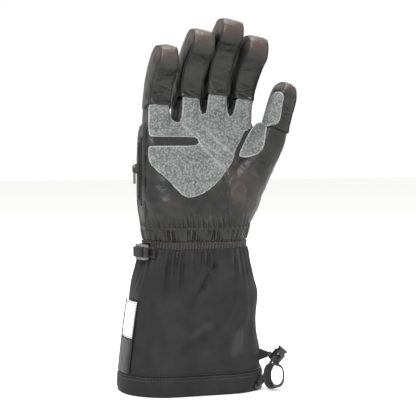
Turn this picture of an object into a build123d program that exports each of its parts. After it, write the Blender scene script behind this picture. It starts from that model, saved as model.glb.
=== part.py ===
from build123d import *

import os
from math import cos, pi, radians, sin, tan

# Right-hand ski glove with a gauntlet cuff, standing on the rim of the cuff.
# Origin: middle of the cuff's mouth, on the surface that it stands on. +Z runs up to the fingertips, the palm
# faces -Y and the thumb is on +X. All sizes are in millimetres and all angles in degrees.
# The shell is cut from flat panels: palm, pinky side panel and back round the hand, and for each finger a base
# sleeve, a front that rolls over the tip, a back and two side walls. Every finger folds at its root and middle.

# ---- driving dimensions -------------------------------------------------------------------------------------------
FIT_GAP = 0.1  # between sewn layers that only touch
MOVE_GAP = 0.4  # between pieces that move past each other

# lengths up the glove, end to end
CUFF_LENGTH = 117.0  # from the floor to the cuff's upper edge
WRIST_LENGTH = 31.0  # the gathered stretch between the cuff and the hand
HAND_LENGTH = 94.0  # from the wrist to the roots of the fingers on the back
HAND_FOOT_Z = CUFF_LENGTH + WRIST_LENGTH
HAND_TOP_Z = HAND_FOOT_Z + HAND_LENGTH

# hem of the cuff
HEM_HALF_WIDTH = 67.0
HEM_HALF_DEPTH = 45.0
HEM_HEIGHT = 18.0
HEM_WALL = 4.6
HEM_CORNER = 42.0

# cuff, from the hem to the wrist: height, middle x, half width, half depth, corner radius
CUFF_WALL = 1.5
CUFF_PADDING = 2.8
CUFF_LINING = 0.8
CUFF_INSET = 2.0  # the cuff's foot stands this far inside the hem's outer face
CUFF_FOOT_HALF_WIDTH = HEM_HALF_WIDTH - CUFF_INSET
CUFF_FOOT_HALF_DEPTH = HEM_HALF_DEPTH - 0.7 * CUFF_INSET
CUFF_LOW = (HEM_HEIGHT + FIT_GAP, 0.0, CUFF_FOOT_HALF_WIDTH, CUFF_FOOT_HALF_DEPTH, HEM_CORNER - CUFF_INSET)
CUFF_MIDDLE = (HEM_HEIGHT + 34.0, 0.0, HEM_HALF_WIDTH - 6.0, HEM_HALF_DEPTH - 3.0, 38.0)
CUFF_BULGE = (CUFF_LENGTH - 23.0, 2.5, 57.0, 39.0, 36.0)
CUFF_TOP = (CUFF_LENGTH, 3.0, 51.5, 34.0, 31.0)

# hand, from the wrist to the roots of the fingers, in the same form
HAND_WALL = 1.6
HAND_PADDING = 2.0
HAND_LINING = 0.8
HAND_LOW = (HAND_FOOT_Z, 5.0, 49.5, 31.0, 28.0)
HAND_HEEL = (HAND_FOOT_Z + 20.0, 5.5, 52.5, 29.0, 24.0)
HAND_PALM = (HAND_TOP_Z - 46.0, 5.5, 52.5, 25.5, 18.0)
HAND_ROOT = (HAND_TOP_Z - 13.0, 6.5, 53.5, 15.4, 3.5)
HAND_TOP = (HAND_TOP_Z, 6.5, 53.5, 15.4, 3.5)
PALM_SEAM_Y = -12.0  # the palm panel ends here on both sides
SIDE_SEAM_Y = 12.0  # the pinky side panel ends and the back begins
FRONT_DROP = 11.0  # the palm's top edge lies this far under the back's, so that the fingers can fold

# foam pad over the knuckles
KNUCKLE_PAD_WIDTH = 84.0
KNUCKLE_PAD_THICK = 3.0
KNUCKLE_PAD_CORNER = 8.0
KNUCKLE_PAD_FOOT_GAP = 6.0
KNUCKLE_PAD_TOP_GAP = 4.0

# wrist
WRIST_AXIS_Z = CUFF_LENGTH + 17.0
WRIST_FORWARD = 40.0
WRIST_BACKWARD = 25.0
WRIST_WALL = 1.4
ELASTIC_WIDTH = 8.0
ELASTIC_THICK = 1.2

# fingers
KNUCKLE_Z = HAND_TOP_Z + 1.0
FINGER_HALF_DEPTH = 12.5
FINGER_WALL = 1.8
SIDE_WALL = 1.5
FINGER_BEND = 50.0  # how far a finger curls towards the palm at rest
TIP_RUN = 6.0  # straight stretch between the curl and the tip's roll
MIDDLE_JOINT = 26.0  # from the root axis to the middle axis
MIDDLE_JOINT_Y = -4.0
KNUCKLE_FOLD = 70.0
MIDDLE_FOLD = 65.0
ROOT_LEAN_ROOM = 2.5  # the padding stops this far under the fingers' round roots
# name: middle x at the root, half width, lean towards the thumb in degrees, straight run, radius of the curl
FINGERS = {
    "pinky": (-32.9, 11.3, 4.2, 20.0, 44.0),
    "ring": (-6.5, 12.0, 7.2, 27.0, 54.0),
    "middle": (20.0, 12.0, 6.7, 36.0, 55.0),
    "index": (46.0, 11.3, 7.0, 24.0, 52.0),
}

# thumb
THUMB_ROOT = (71.5, -17.0, HAND_TOP_Z - 16.0)
THUMB_AXIS = (0.36, -0.02, 0.93)
THUMB_PAD = (0.0, -1.0, 0.0)
THUMB_HALF_WIDTH = 11.3
THUMB_HALF_DEPTH = 11.5
THUMB_STRAIGHT = 23.4
THUMB_CURL = 50.0
THUMB_BEND = 24.0
THUMB_TIP_RUN = 2.0
THUMB_JOINT = 25.0
THUMB_FOLD = 50.0
THUMB_ROOT_FOLD = 35.0
THUMB_ROOT_BACK = 15.0
GUSSET_FOOT = (50.0, -10.0, HAND_TOP_Z - 55.0)
GUSSET_FOOT_HALF_WIDTH = 17.0
GUSSET_TOP = -1.5  # the socket ends here on the back, counted from the root axis
GUSSET_PAD_DROP = 13.0  # the socket's pad side ends this far under the root axis, so that the thumb can fold

# grip patches
PATCH_THICK = 1.2
SLOT_Z = HAND_TOP_Z - 15.5
SLOT_HEIGHT = 8.0
PATCH_TOP_GAP = 1.0
PATCH_LEFT_X = -44.0
PATCH_RIGHT_X = 52.0
PATCH_THUMB_EDGE = [(52.0, 20.0), (38.0, 37.0), (16.0, 56.0), (-8.0, 65.0)]  # x, and how far under the hand's top
PATCH_FOOT = (-16.0, 62.0)
PATCH_HEEL_DOWN = 37.0
SLOT_END_X = 3.5
TAB_HALF_WIDTH = 8.4
TAB_SHIFT = 2.2  # the tabs lie a little to the thumb's side of each finger's middle
TAB_LOW = 2.0

# wrist strap and its ladder buckle
STRAP_Z = CUFF_LENGTH + 11.0
STRAP_WIDTH = 9.0
STRAP_THICK = 1.3
STRAP_END_Y = -4.0  # where the strap is sewn into the thumb-side seam
BUCKLE_LENGTH = 17.0
BUCKLE_HEIGHT = 14.0
BUCKLE_THICK = 2.8
BUCKLE_BAR = 2.2
BUCKLE_TURN = 19.0  # the buckle faces the pinky side, turned this far towards the palm
ANCHOR_LENGTH = 6.0

# zip in the pinky side panel
ZIP_LOW_Z = HAND_FOOT_Z + 26.0
ZIP_LENGTH = 52.0
ZIP_TAPE_WIDTH = 11.0
ZIP_TAPE_THICK = 0.8
ZIP_TAPE_END = 4.0  # the tapes run this far past the teeth
ZIP_COIL_WIDTH = 4.4
ZIP_COIL_HEIGHT = 1.3
ZIP_PITCH = 2.0
ZIP_Y = 1.5
SLIDER = (3.4, 7.0, 9.0)  # out from the panel, across the zip, along the zip
SLIDER_REST = 24.0  # from the zip's lower stop to the slider
BRIDGE = (2.6, 2.2, 6.0)  # out from the slider, across, along
BRIDGE_BAR = 0.9
PULL_LENGTH = 15.0
PULL_WIDTH = 5.4
PULL_THICK = 1.0
PULL_RISE = 0.8  # the pull's eye bar rests this far over the middle of the slider

# drawcord and its eyelet in the hem
CORD = 2.4
CORD_Z = 5.4
CORD_APART = 1.6  # half the distance between the two ends of the cord
EYELET_TURN = 47.7  # the eyelet faces the thumb side, turned this far towards the palm
EYELET_RIM = 2.0
EYELET_THICK = 1.0
EYELET_SAGITTA = 0.4  # the flat eyelet stands off the round hem by this much

# cord lock. Its frame stands at the cuff's thumb-side corner: out from the cuff, forward and up.
TOGGLE_ORIGIN = (HEM_HALF_WIDTH - 5.4, -16.0, 0.0)
TOGGLE_TURN = 18.0
LOCK_MIDDLE = (16.4, 8.0, 29.2)
LOCK_TILT = 50.0  # of the barrel over the floor
LOCK_LENGTH = 11.0
LOCK_WIDTH = 11.6
LOCK_WALL = 1.2
LOCK_HOLE_RISE = 1.6  # from the barrel's middle to the cord hole, towards the button
BUTTON_OUT = 4.2
BUTTON_CAP = 1.5
BUTTON_WIDTH = 10.4
BUTTON_TRAVEL = 2.6
BUTTON_GAP = 0.2
PLUNGER_FLOOR = 1.0
SPRING_WIRE = 0.5
SPRING_TURNS = 2.5
LUG = (3.0, 4.8)  # out from the barrel, along it
LUG_CHEEK = 1.0

# tab that ties the lock to the cuff, and the webbing pull loop that the cord's ends are sewn into
TAB_THICK = 1.2
TAB_FOOT = (24.0, 39.0)  # lowest and highest point on the cuff
LOOP_MIDDLE = (14.6, 20.0, 13.8)
LOOP_WIDTH = 7.2
LOOP_THICK = 1.3
LOOP_ACROSS = 16.0
LOOP_HIGH = 21.0

# The cord's two ends, from the hem's channel through the lock to the pull loop, in the toggle's frame.
CORD_END_A = [
    (-3.2, 17.3, 5.4),
    (2.3, 20.5, 5.6),
    (4.5, 14.8, 10.6),
    (8.95, 7.6, 16.25),
    (13.65, -0.6, 20.7),
    (17.0, -4.2, 25.6),
    (18.66, -1.0, 29.4),
    (18.66, 15.5, 29.4),
    (16.4, 19.8, 24.0),
]
CORD_END_B = [
    (-4.8, 20.1, 5.4),
    (0.7, 23.3, 5.6),
    (3.9, 16.2, 13.2),
    (7.45, 8.4, 18.75),
    (11.55, -0.4, 22.9),
    (14.6, -4.2, 27.6),
    (16.2, -1.0, 31.46),
    (16.2, 15.5, 31.46),
    (13.2, 19.8, 24.0),
]

# label and side patch of the cuff
LABEL_WIDTH = 29.0
LABEL_LOW_Z = 50.0
LABEL_HEIGHT = 33.0
LABEL_THICK = 0.5
LABEL_Y = -3.0


# ---- helpers ------------------------------------------------------------------------------------------------------
def block(low, high):
    """A box from its lowest corner to its highest."""
    size = [b - a for a, b in zip(low, high)]
    middle = [(a + b) / 2 for a, b in zip(low, high)]
    return Pos(*middle) * Box(*size)


def section(level, inset=0.0):
    """One rounded outline of the tube, drawn in by inset."""
    z, x, half_width, half_depth, corner = level
    radius = max(corner - inset, 0.6)
    outline = RectangleRounded(2 * (half_width - inset), 2 * (half_depth - inset), radius)
    return Pos(x, 0, z) * outline


def tube_core(levels, inset=0.0):
    """The solid inside the tube's outline, drawn in by inset."""
    return loft([section(level, inset) for level in levels], ruled=True)


def sleeve(levels, outer, inner):
    """A wall between two insets of the same tube."""
    return tube_core(levels, outer) - tube_core(levels, inner)


def slab(low_z, high_z):
    """Everything between two heights."""
    return block((-200, -200, low_z), (200, 200, high_z))


def write(name, shape):
    """Writes one node. Its solids stay separate."""
    solids = shape.solids() if hasattr(shape, "solids") else list(shape)
    export_step(Compound(children=[Solid(s.wrapped) for s in solids]), f"parts/{name}.step")


# ---- hand and cuff outlines ---------------------------------------------------------------------------------------
CUFF_LEVELS = [CUFF_LOW, CUFF_MIDDLE, CUFF_BULGE, CUFF_TOP]
HAND_LEVELS = [HAND_LOW, HAND_HEEL, HAND_PALM, HAND_ROOT, HAND_TOP]
WRIST_LEVELS = [
    (CUFF_TOP[0] + MOVE_GAP, *CUFF_TOP[1:]),
    (HAND_LOW[0] - MOVE_GAP, *HAND_LOW[1:]),
]
PALM_TOP_Z = HAND_TOP[0] - FRONT_DROP
HAND_LEFT_X = HAND_PALM[1] - HAND_PALM[2]


# ---- cuff ---------------------------------------------------------------------------------------------------------
def hem_outline(inset):
    return RectangleRounded(2 * (HEM_HALF_WIDTH - inset), 2 * (HEM_HALF_DEPTH - inset), HEM_CORNER - inset)


def hem_channel_inset():
    return HEM_WALL / 2


def hem_corner(turn):
    """The corner of the hem's outline at the thumb's side, and the way that it faces at a turn towards the palm."""
    centre = Vector(HEM_HALF_WIDTH - HEM_CORNER, -(HEM_HALF_DEPTH - HEM_CORNER), 0)
    facing = Vector(cos(radians(turn)), -sin(radians(turn)), 0)
    return centre, facing


def eyelet_place(out=0.0):
    """Frame at the eyelet: z out of the hem, x level along the hem."""
    centre, facing = hem_corner(EYELET_TURN)
    origin = centre + facing * (HEM_CORNER + out) + Vector(0, 0, CORD_Z)
    return Plane(origin=origin, x_dir=facing.cross(Vector(0, 0, 1)), z_dir=facing).location


def cord_slot(width, thick):
    """A slot for the cord's two ends side by side, centred, with its length along x."""
    return extrude(SlotCenterToCenter(2 * CORD_APART, width), thick / 2, both=True)


def cuff_hem():
    """A folded band with the drawcord's channel in it."""
    band = extrude(hem_outline(0) - hem_outline(HEM_WALL), HEM_HEIGHT)
    half = CORD / 2 + MOVE_GAP
    middle = hem_channel_inset()
    channel = extrude(hem_outline(middle - half) - hem_outline(middle + half), 2 * half)
    band -= Pos(0, 0, CORD_Z - half) * channel
    return band - eyelet_place() * cord_slot(2 * half, 2 * middle)


def cuff_shell():
    return sleeve(CUFF_LEVELS, 0, CUFF_WALL)


def cuff_padding():
    """Thin wadding between shell and lining."""
    return sleeve(CUFF_LEVELS, CUFF_WALL + FIT_GAP, CUFF_WALL + CUFF_PADDING)


def cuff_lining():
    outer = CUFF_WALL + CUFF_PADDING + FIT_GAP
    return sleeve(CUFF_LEVELS, outer, outer + CUFF_LINING)


def cuff_side_patch():
    """The reinforcing panel at the foot of the pinky side."""
    grown = tube_core(CUFF_LEVELS, -PATCH_THICK - FIT_GAP) - tube_core(CUFF_LEVELS, -FIT_GAP)
    low, high = HEM_HEIGHT + MOVE_GAP, LABEL_LOW_Z - MOVE_GAP
    window = block((-90, LABEL_Y - LABEL_WIDTH / 2, low), (-40, LABEL_Y + LABEL_WIDTH / 2, high))
    return grown & window


def side_label():
    grown = tube_core(CUFF_LEVELS, -LABEL_THICK - FIT_GAP) - tube_core(CUFF_LEVELS, -FIT_GAP)
    low, high = LABEL_LOW_Z, LABEL_LOW_Z + LABEL_HEIGHT
    return grown & block((-90, LABEL_Y - LABEL_WIDTH / 2, low), (-40, LABEL_Y + LABEL_WIDTH / 2, high))


# ---- wrist --------------------------------------------------------------------------------------------------------
def wrist_gather():
    return sleeve(WRIST_LEVELS, 0, WRIST_WALL)


def wrist_elastic():
    inner = WRIST_WALL + FIT_GAP
    band = sleeve(WRIST_LEVELS, inner, inner + ELASTIC_THICK)
    return band & slab(WRIST_AXIS_Z - ELASTIC_WIDTH / 2, WRIST_AXIS_Z + ELASTIC_WIDTH / 2)


def buckle_place():
    """Frame in the middle of the buckle: x round the wrist towards the back, y up, z inwards."""
    z, x, half_width, half_depth, corner = CUFF_TOP
    turn = radians(BUCKLE_TURN)
    facing = Vector(-cos(turn), -sin(turn), 0)
    centre = Vector(x - half_width + corner, -(half_depth - corner), STRAP_Z)
    reach = corner + STRAP_THICK + 2 * FIT_GAP + BUCKLE_THICK / 2
    return Plane(origin=centre + facing * reach, x_dir=(-sin(turn), cos(turn), 0), z_dir=facing * -1).location


def strap_ring():
    """Webbing right round the wrist, of which each strap keeps a stretch."""
    z, x, half_width, half_depth, corner = CUFF_TOP
    reach = STRAP_THICK + FIT_GAP

    def outline(grow):
        return RectangleRounded(2 * (half_width + grow), 2 * (half_depth + grow), corner + grow)

    ring = extrude(outline(reach) - outline(FIT_GAP), STRAP_WIDTH)
    return Pos(x, 0, STRAP_Z - STRAP_WIDTH / 2) * ring


def bar_step():
    """From one of the buckle's bars to the next."""
    return (BUCKLE_LENGTH - BUCKLE_BAR) / 2


def wrist_buckle():
    """Ladder buckle: three upright bars in a frame."""
    frame = RectangleRounded(BUCKLE_LENGTH, BUCKLE_HEIGHT, 1.8)
    slot = Rectangle(bar_step() - BUCKLE_BAR, STRAP_WIDTH + 2 * MOVE_GAP)
    for side in (-1, 1):
        frame -= Pos(side * bar_step() / 2, 0) * slot
    return buckle_place() * extrude(frame, BUCKLE_THICK / 2, both=True)


def fold_round_bar(x):
    """The webbing's fold round a bar of the buckle, in the buckle's frame. Its inner layer is the strap's own."""
    wide, deep = BUCKLE_BAR + 2 * FIT_GAP, BUCKLE_THICK + 2 * FIT_GAP
    turn = RectangleRounded(wide + 2 * STRAP_THICK, deep + 2 * STRAP_THICK, 1.0) - Rectangle(wide, deep)
    return Pos(x, 0, 0) * Rot(90, 0, 0) * extrude(turn, STRAP_WIDTH / 2, both=True)


def wrist_strap():
    """From the thumb-side seam round the back to the buckle's middle bar, with its end folded back."""
    middle = CUFF_TOP[1]
    ahead = buckle_place() * block((0, -20, -30), (80, 20, 60))
    pinky_side = strap_ring() & ahead & block((-200, -60, 0), (middle, 60, 300))
    thumb_side = strap_ring() & block((middle, STRAP_END_Y, 0), (200, 60, 300))
    top = BUCKLE_THICK / 2 + FIT_GAP
    start = BUCKLE_BAR / 2 + FIT_GAP
    end = BUCKLE_LENGTH / 2 + STRAP_THICK
    tail = block((start, -STRAP_WIDTH / 2, -top - STRAP_THICK), (end, STRAP_WIDTH / 2, -top))
    return pinky_side + thumb_side + buckle_place() * (fold_round_bar(0) + tail)


def strap_anchor():
    """The short webbing that ties the buckle's front bar to the palm's side seam."""
    x = -bar_step()
    stretch = buckle_place() * block((x - ANCHOR_LENGTH, -20, -10), (x, 20, 20))
    return (strap_ring() & stretch) + buckle_place() * fold_round_bar(x)


# ---- hand ---------------------------------------------------------------------------------------------------------
def hand_shell():
    shell = sleeve(HAND_LEVELS, 0, HAND_WALL)
    shell -= block((-200, -60, PALM_TOP_Z), (200, 0, 300))
    return shell - gusset_hull(MOVE_GAP)


def palm_panel(shell):
    return shell & block((-200, -60, 0), (200, PALM_SEAM_Y, 300))


def side_panel(shell):
    return shell & block((-200, PALM_SEAM_Y + FIT_GAP, 0), (HAND_PALM[1], SIDE_SEAM_Y, 300))


def back_panel(shell):
    back = shell & block((-200, SIDE_SEAM_Y + FIT_GAP, 0), (200, 60, 300))
    thumb_side = shell & block((HAND_PALM[1], PALM_SEAM_Y + FIT_GAP, 0), (200, SIDE_SEAM_Y + FIT_GAP, 300))
    return back + thumb_side


def inner_layer(outer, thick):
    """A layer inside the hand, that stops under the fingers' roots."""
    top = KNUCKLE_Z - FINGER_HALF_DEPTH - ROOT_LEAN_ROOM
    layer = sleeve(HAND_LEVELS, outer, outer + thick) & slab(HAND_LOW[0], top)
    return layer - gusset_hull(MOVE_GAP)


def knuckle_pad():
    """Foam pad over the knuckles, on the back."""
    low, high = HAND_PALM[0] + KNUCKLE_PAD_FOOT_GAP, HAND_TOP_Z - KNUCKLE_PAD_TOP_GAP
    grown = tube_core(HAND_LEVELS, -KNUCKLE_PAD_THICK) - tube_core(HAND_LEVELS, -FIT_GAP)
    outline = RectangleRounded(KNUCKLE_PAD_WIDTH, high - low, KNUCKLE_PAD_CORNER)
    window = extrude(Plane.XZ * outline, -60)
    return grown & (Pos(HAND_PALM[1], 0, (low + high) / 2) * window)


def grip_patch():
    """The palm's grip patch: straight top under the fingers, a slot from the pinky side and a rounded point below."""
    top = PALM_TOP_Z - PATCH_TOP_GAP
    left, right = PATCH_LEFT_X, PATCH_RIGHT_X
    thumb_edge = [(x, HAND_TOP_Z - down) for x, down in PATCH_THUMB_EDGE]
    foot = (PATCH_FOOT[0], HAND_TOP_Z - PATCH_FOOT[1])
    heel = (left, HAND_TOP_Z - PATCH_HEEL_DOWN)
    outline = make_face(
        [
            Line((left, top), (right, top)),
            Line((right, top), thumb_edge[0]),
            Spline(thumb_edge),
            Line(thumb_edge[-1], foot),
            Line(foot, heel),
            Line(heel, (left, top)),
        ]
    )
    straight = SLOT_END_X - SLOT_HEIGHT / 2 - 2 * left
    outline -= Pos(2 * left + straight / 2, SLOT_Z) * Rectangle(straight, SLOT_HEIGHT)
    outline -= Pos(SLOT_END_X - SLOT_HEIGHT / 2, SLOT_Z) * Circle(SLOT_HEIGHT / 2)
    window = extrude(Plane.XZ * outline, 60)
    grown = tube_core(HAND_LEVELS, -PATCH_THICK - FIT_GAP) - tube_core(HAND_LEVELS, -FIT_GAP)
    return (grown & window) - gusset_hull(MOVE_GAP)


# ---- fingers ------------------------------------------------------------------------------------------------------
class Digit:
    """One finger or the thumb, in its own frame: origin on the root axis, X across, -Y the pad side, +Z along."""

    def __init__(self, half_width, half_depth, straight, curl, bend, tip_run, joint, fold):
        self.half_width = half_width
        self.half_depth = half_depth
        self.joint = joint
        self.fold = fold
        end = Vector(-curl + curl * cos(radians(bend)), straight + curl * sin(radians(bend)))
        tip = end + Vector(-sin(radians(bend)), cos(radians(bend))) * tip_run
        arc = CenterArc((-curl, straight), curl, 0, bend)
        self.path = Wire([Line((0, 0), (0, straight)), arc, Line(end, tip)])
        back = [Vector(0, -1)]
        back += [arc @ (i / 6) for i in range(7)]
        back += [tip]
        away = [Vector(cos(radians(bend * i / 6)), sin(radians(bend * i / 6))) for i in (0, *range(7), 6)]
        far = [p + a * (1.6 * half_depth) for p, a in zip(back, away)]
        self.back_side = make_face(Polyline(*back, *reversed(far), close=True))

    def outline(self, inset=0.0):
        """The side view of the digit, as a face with round ends."""
        return make_face(offset(self.path, self.half_depth - inset, kind=Kind.ARC).edges())

    def below(self):
        """Side view of what belongs to the base sleeve: under a notch that opens at the pad side."""
        far = 3 * self.half_depth
        drop = (far + MIDDLE_JOINT_Y) * tan(radians(self.fold / 2 + 1))
        apex = (MIDDLE_JOINT_Y, self.joint - MOVE_GAP / 2)
        points = [(-far, self.joint - drop), apex, (far, apex[1]), (far, -far), (-far, -far)]
        return make_face(Polyline(*points, close=True))

    def above(self):
        far = 3 * self.half_depth
        rise = (far + MIDDLE_JOINT_Y) * tan(radians(self.fold / 2 + 1))
        apex = (MIDDLE_JOINT_Y, self.joint + MOVE_GAP / 2)
        high = 12 * self.half_depth
        points = [(-far, self.joint + rise), apex, (far, apex[1]), (far, high), (-5 * far, high)]
        return make_face(Polyline(*points, (-5 * far, self.joint + rise), close=True))

    def spread(self, face, low, high):
        """Extrudes a side view across the digit from low to high."""
        return Pos(low, 0, 0) * extrude(Plane.YZ * face, high - low)

    def base(self):
        """The sleeve from the root to the middle joint, open at both ends, with round ears at the root."""
        solid = self.spread(self.outline() & self.below(), -self.half_width, self.half_width)
        inner_width = self.half_width - SIDE_WALL
        cavity = self.spread(self.outline(FINGER_WALL), -inner_width, inner_width)
        depth = self.half_depth - FINGER_WALL
        mouth = block((-inner_width, -depth, -2 * self.half_depth), (inner_width, depth, 0))
        return solid - cavity - mouth

    def strip(self):
        return (self.outline() - self.outline(FINGER_WALL)) & self.above()

    def front(self):
        """The pad-side leather, which rolls over the tip."""
        half = self.half_width - SIDE_WALL - FIT_GAP
        return self.spread(self.strip() - self.back_side, -half, half)

    def back(self):
        half = self.half_width - SIDE_WALL - FIT_GAP
        return self.spread(self.strip() & self.back_side, -half, half)

    def sides(self):
        """Both side walls, as two solids."""
        wall = self.outline() & self.above()
        inner = self.half_width - SIDE_WALL
        left = self.spread(wall, -self.half_width, -inner)
        right = self.spread(wall, inner, self.half_width)
        return [left, right]

    def tab(self):
        """The grip patch's tab on the front of the base sleeve."""
        edge = self.joint - (self.half_depth + MIDDLE_JOINT_Y) * tan(radians(self.fold / 2 + 1))
        outline = RectangleRounded(2 * TAB_HALF_WIDTH, edge - TAB_LOW - 0.6, 2.5)
        outline = Pos(TAB_SHIFT, (edge + TAB_LOW) / 2) * outline
        plate = extrude(Plane.XZ * outline, PATCH_THICK)
        return Pos(0, -self.half_depth - FIT_GAP, 0) * plate


def finger_place(name):
    x, _, lean, _, _ = FINGERS[name]
    return Location((x, 0, KNUCKLE_Z), (0, lean, 0))


def finger_digit(name):
    _, half_width, _, straight, curl = FINGERS[name]
    return Digit(
        half_width, FINGER_HALF_DEPTH, straight, curl, FINGER_BEND, TIP_RUN, MIDDLE_JOINT, MIDDLE_FOLD
    )


def thumb_place():
    along = Vector(*THUMB_AXIS).normalized()
    pad = Vector(*THUMB_PAD)
    pad = (pad - along * pad.dot(along)).normalized()
    return Plane(origin=THUMB_ROOT, x_dir=(pad * -1).cross(along), z_dir=along).location


def thumb_digit():
    return Digit(
        THUMB_HALF_WIDTH, THUMB_HALF_DEPTH, THUMB_STRAIGHT, THUMB_CURL, THUMB_BEND, THUMB_TIP_RUN,
        THUMB_JOINT, THUMB_FOLD,
    )


def gusset_hull(grow=0.0):
    """The space that the thumb's gusset fills: from the ball of the hand up to the thumb's root."""
    wall = MOVE_GAP + HAND_WALL + grow
    half_width = THUMB_HALF_WIDTH + wall
    half_depth = THUMB_HALF_DEPTH + wall
    mouth = thumb_place() * Pos(0, 0, GUSSET_TOP + grow) * Rectangle(2 * half_width, 2 * half_depth)
    foot_width = GUSSET_FOOT_HALF_WIDTH + wall
    along = Vector(*THUMB_ROOT) - Vector(*GUSSET_FOOT)
    across = thumb_place().x_axis.direction
    level_across = across - along * (across.dot(along) / along.dot(along))
    foot_plane = Plane(origin=GUSSET_FOOT, x_dir=level_across, z_dir=along)
    foot = foot_plane * Rectangle(2 * foot_width, 2 * half_depth)
    return loft([foot, mouth])


def thumb_gusset():
    """The collar that joins the thumb to the palm. It stops at the hand's inner wall."""
    bore = gusset_hull(-HAND_WALL)
    half_width = THUMB_HALF_WIDTH + MOVE_GAP
    half_depth = THUMB_HALF_DEPTH + MOVE_GAP
    mouth = thumb_place() * block((-half_width, -half_depth, -half_depth), (half_width, half_depth, 20))
    pad_side = thumb_place() * block((-60, -60, -GUSSET_PAD_DROP), (60, -half_depth + 4, 20))
    inside = tube_core(HAND_LEVELS, HAND_WALL + HAND_PADDING + HAND_LINING + 4 * FIT_GAP)
    return gusset_hull() - bore - mouth - inside - pad_side


# ---- zip ----------------------------------------------------------------------------------------------------------
ZIP_X = HAND_LEFT_X - FIT_GAP


def zip_tape():
    """Two tapes, one each side of the coils."""
    outer = ZIP_X - ZIP_TAPE_THICK
    low, high = ZIP_LOW_Z - ZIP_TAPE_END, ZIP_LOW_Z + ZIP_LENGTH + ZIP_TAPE_END
    half = ZIP_TAPE_WIDTH / 2
    return [
        block((outer, ZIP_Y - half, low), (ZIP_X, ZIP_Y - FIT_GAP / 2, high)),
        block((outer, ZIP_Y + FIT_GAP / 2, low), (ZIP_X, ZIP_Y + half, high)),
    ]


def zip_teeth():
    """The coil's teeth, taken in turn from the left and the right tape."""
    outer = ZIP_X - ZIP_TAPE_THICK - FIT_GAP / 2
    teeth = []
    count = int(ZIP_LENGTH / ZIP_PITCH)
    for i in range(count):
        z = ZIP_LOW_Z + (i + 0.5) * ZIP_PITCH
        side = 1 if i % 2 else -1
        y = ZIP_Y + side * 0.5
        tooth = Box(ZIP_COIL_HEIGHT, ZIP_COIL_WIDTH - 1.0, ZIP_PITCH * 0.7)
        teeth.append(Pos(outer - ZIP_COIL_HEIGHT / 2, y, z) * tooth)
    return teeth


def slider_middle():
    out, _, along = SLIDER
    clear = ZIP_X - ZIP_TAPE_THICK - FIT_GAP
    return clear - out / 2, ZIP_Y, ZIP_LOW_Z + SLIDER_REST + along / 2


def zip_slider():
    """A slider that straddles the coil, with a bridge that the pull hangs from."""
    out, across, along = SLIDER
    x, y, z = slider_middle()
    body = Pos(x, y, z) * fillet(Box(out, across, along).edges().filter_by(Axis.X), 1.6)
    channel = block(
        (x + out / 2 - ZIP_COIL_HEIGHT - MOVE_GAP, y - ZIP_COIL_WIDTH / 2 - MOVE_GAP, z - along),
        (x + out, y + ZIP_COIL_WIDTH / 2 + MOVE_GAP, z + along),
    )
    high, wide, long = BRIDGE
    arch = Box(high, wide, long) - Pos(BRIDGE_BAR, 0, 0) * Box(high, 2 * wide, long - 2 * BRIDGE_BAR)
    return body - channel + Pos(x - (out + high) / 2, y, z) * arch


def pull_pin():
    """Middle of the pull's eye bar, inside the slider's bridge. The pull turns about it."""
    x, y, z = slider_middle()
    room = BRIDGE[0] - BRIDGE_BAR
    return x - (SLIDER[0] + room) / 2, y, z + PULL_RISE


def zip_pull():
    """A flat tongue with an eye that the slider's bridge passes through."""
    bar = PULL_THICK / 2
    reach = BRIDGE[2] / 2 + PULL_RISE
    eye_length = (reach**2 + BRIDGE[0] ** 2) ** 0.5 + MOVE_GAP
    tongue = Pos(0, bar - PULL_LENGTH / 2) * Rectangle(PULL_WIDTH, PULL_LENGTH)
    low_corners = tongue.vertices().sort_by(Axis.Y)[:2]
    tongue = fillet(low_corners, 1.4)
    tongue -= Pos(0, -(bar + eye_length) / 2) * Rectangle(BRIDGE[1] + 2 * MOVE_GAP, eye_length - bar)
    plate = extrude(Plane.YZ * tongue, PULL_THICK / 2, both=True)
    return Pos(*pull_pin()) * plate


# ---- drawcord and cord lock ---------------------------------------------------------------------------------------
def toggle_place():
    return Location(TOGGLE_ORIGIN, (0, 0, -TOGGLE_TURN))


def toggle_point(point):
    """A point given as out from the cuff, forward and up."""
    out, forward, up = point
    return (toggle_place() * Pos(out, -forward, up)).position


def cord_radii(points):
    """The largest tangent radius at each corner: 0.45 of its shorter run over the tangent of half the turn."""
    radii = []
    for a, b, c in zip(points, points[1:], points[2:]):
        before, after = b - a, c - b
        turn = before.get_angle(after)
        radii.append(0.45 * min(before.length, after.length) / tan(radians(turn / 2)))
    return radii


def cord_end(route):
    """One end of the drawcord, as a tube along straight runs and tangent arcs."""
    points = [toggle_point(point) for point in route]
    radii = cord_radii(points)
    path = FilletPolyline(*points, radius=radii)
    tube = sweep(Plane(origin=path @ 0, z_dir=path % 0) * Circle(CORD / 2), path=path)
    ideal = path.length * pi * CORD**2 / 4
    print("cord end", round(path.length, 1), "mm, radii", [round(r, 1) for r in radii])
    print("  volume", round(tube.volume), "of", round(ideal))
    return tube


def hem_cord():
    """The drawcord in the hem, all the way round from one end's turn to the other's."""
    middle = hem_channel_inset()
    outline = hem_outline(middle).wires()[0]
    start = Plane(origin=(HEM_HALF_WIDTH - middle, 0, 0), z_dir=(0, 1, 0))
    ring = Pos(0, 0, CORD_Z) * sweep(start * Circle(CORD / 2), path=outline)
    half = CORD_APART + CORD / 2 - FIT_GAP
    return ring - eyelet_place() * block((-half, -CORD, -HEM_WALL), (half, CORD, CORD))


def hem_eyelet():
    """An oblong rim round both ends of the cord."""
    inner = CORD + 2 * MOVE_GAP
    rim = cord_slot(inner + 2 * EYELET_RIM, EYELET_THICK) - cord_slot(inner, 2 * EYELET_THICK)
    return eyelet_place(EYELET_THICK / 2 + EYELET_SAGITTA) * rim


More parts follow.
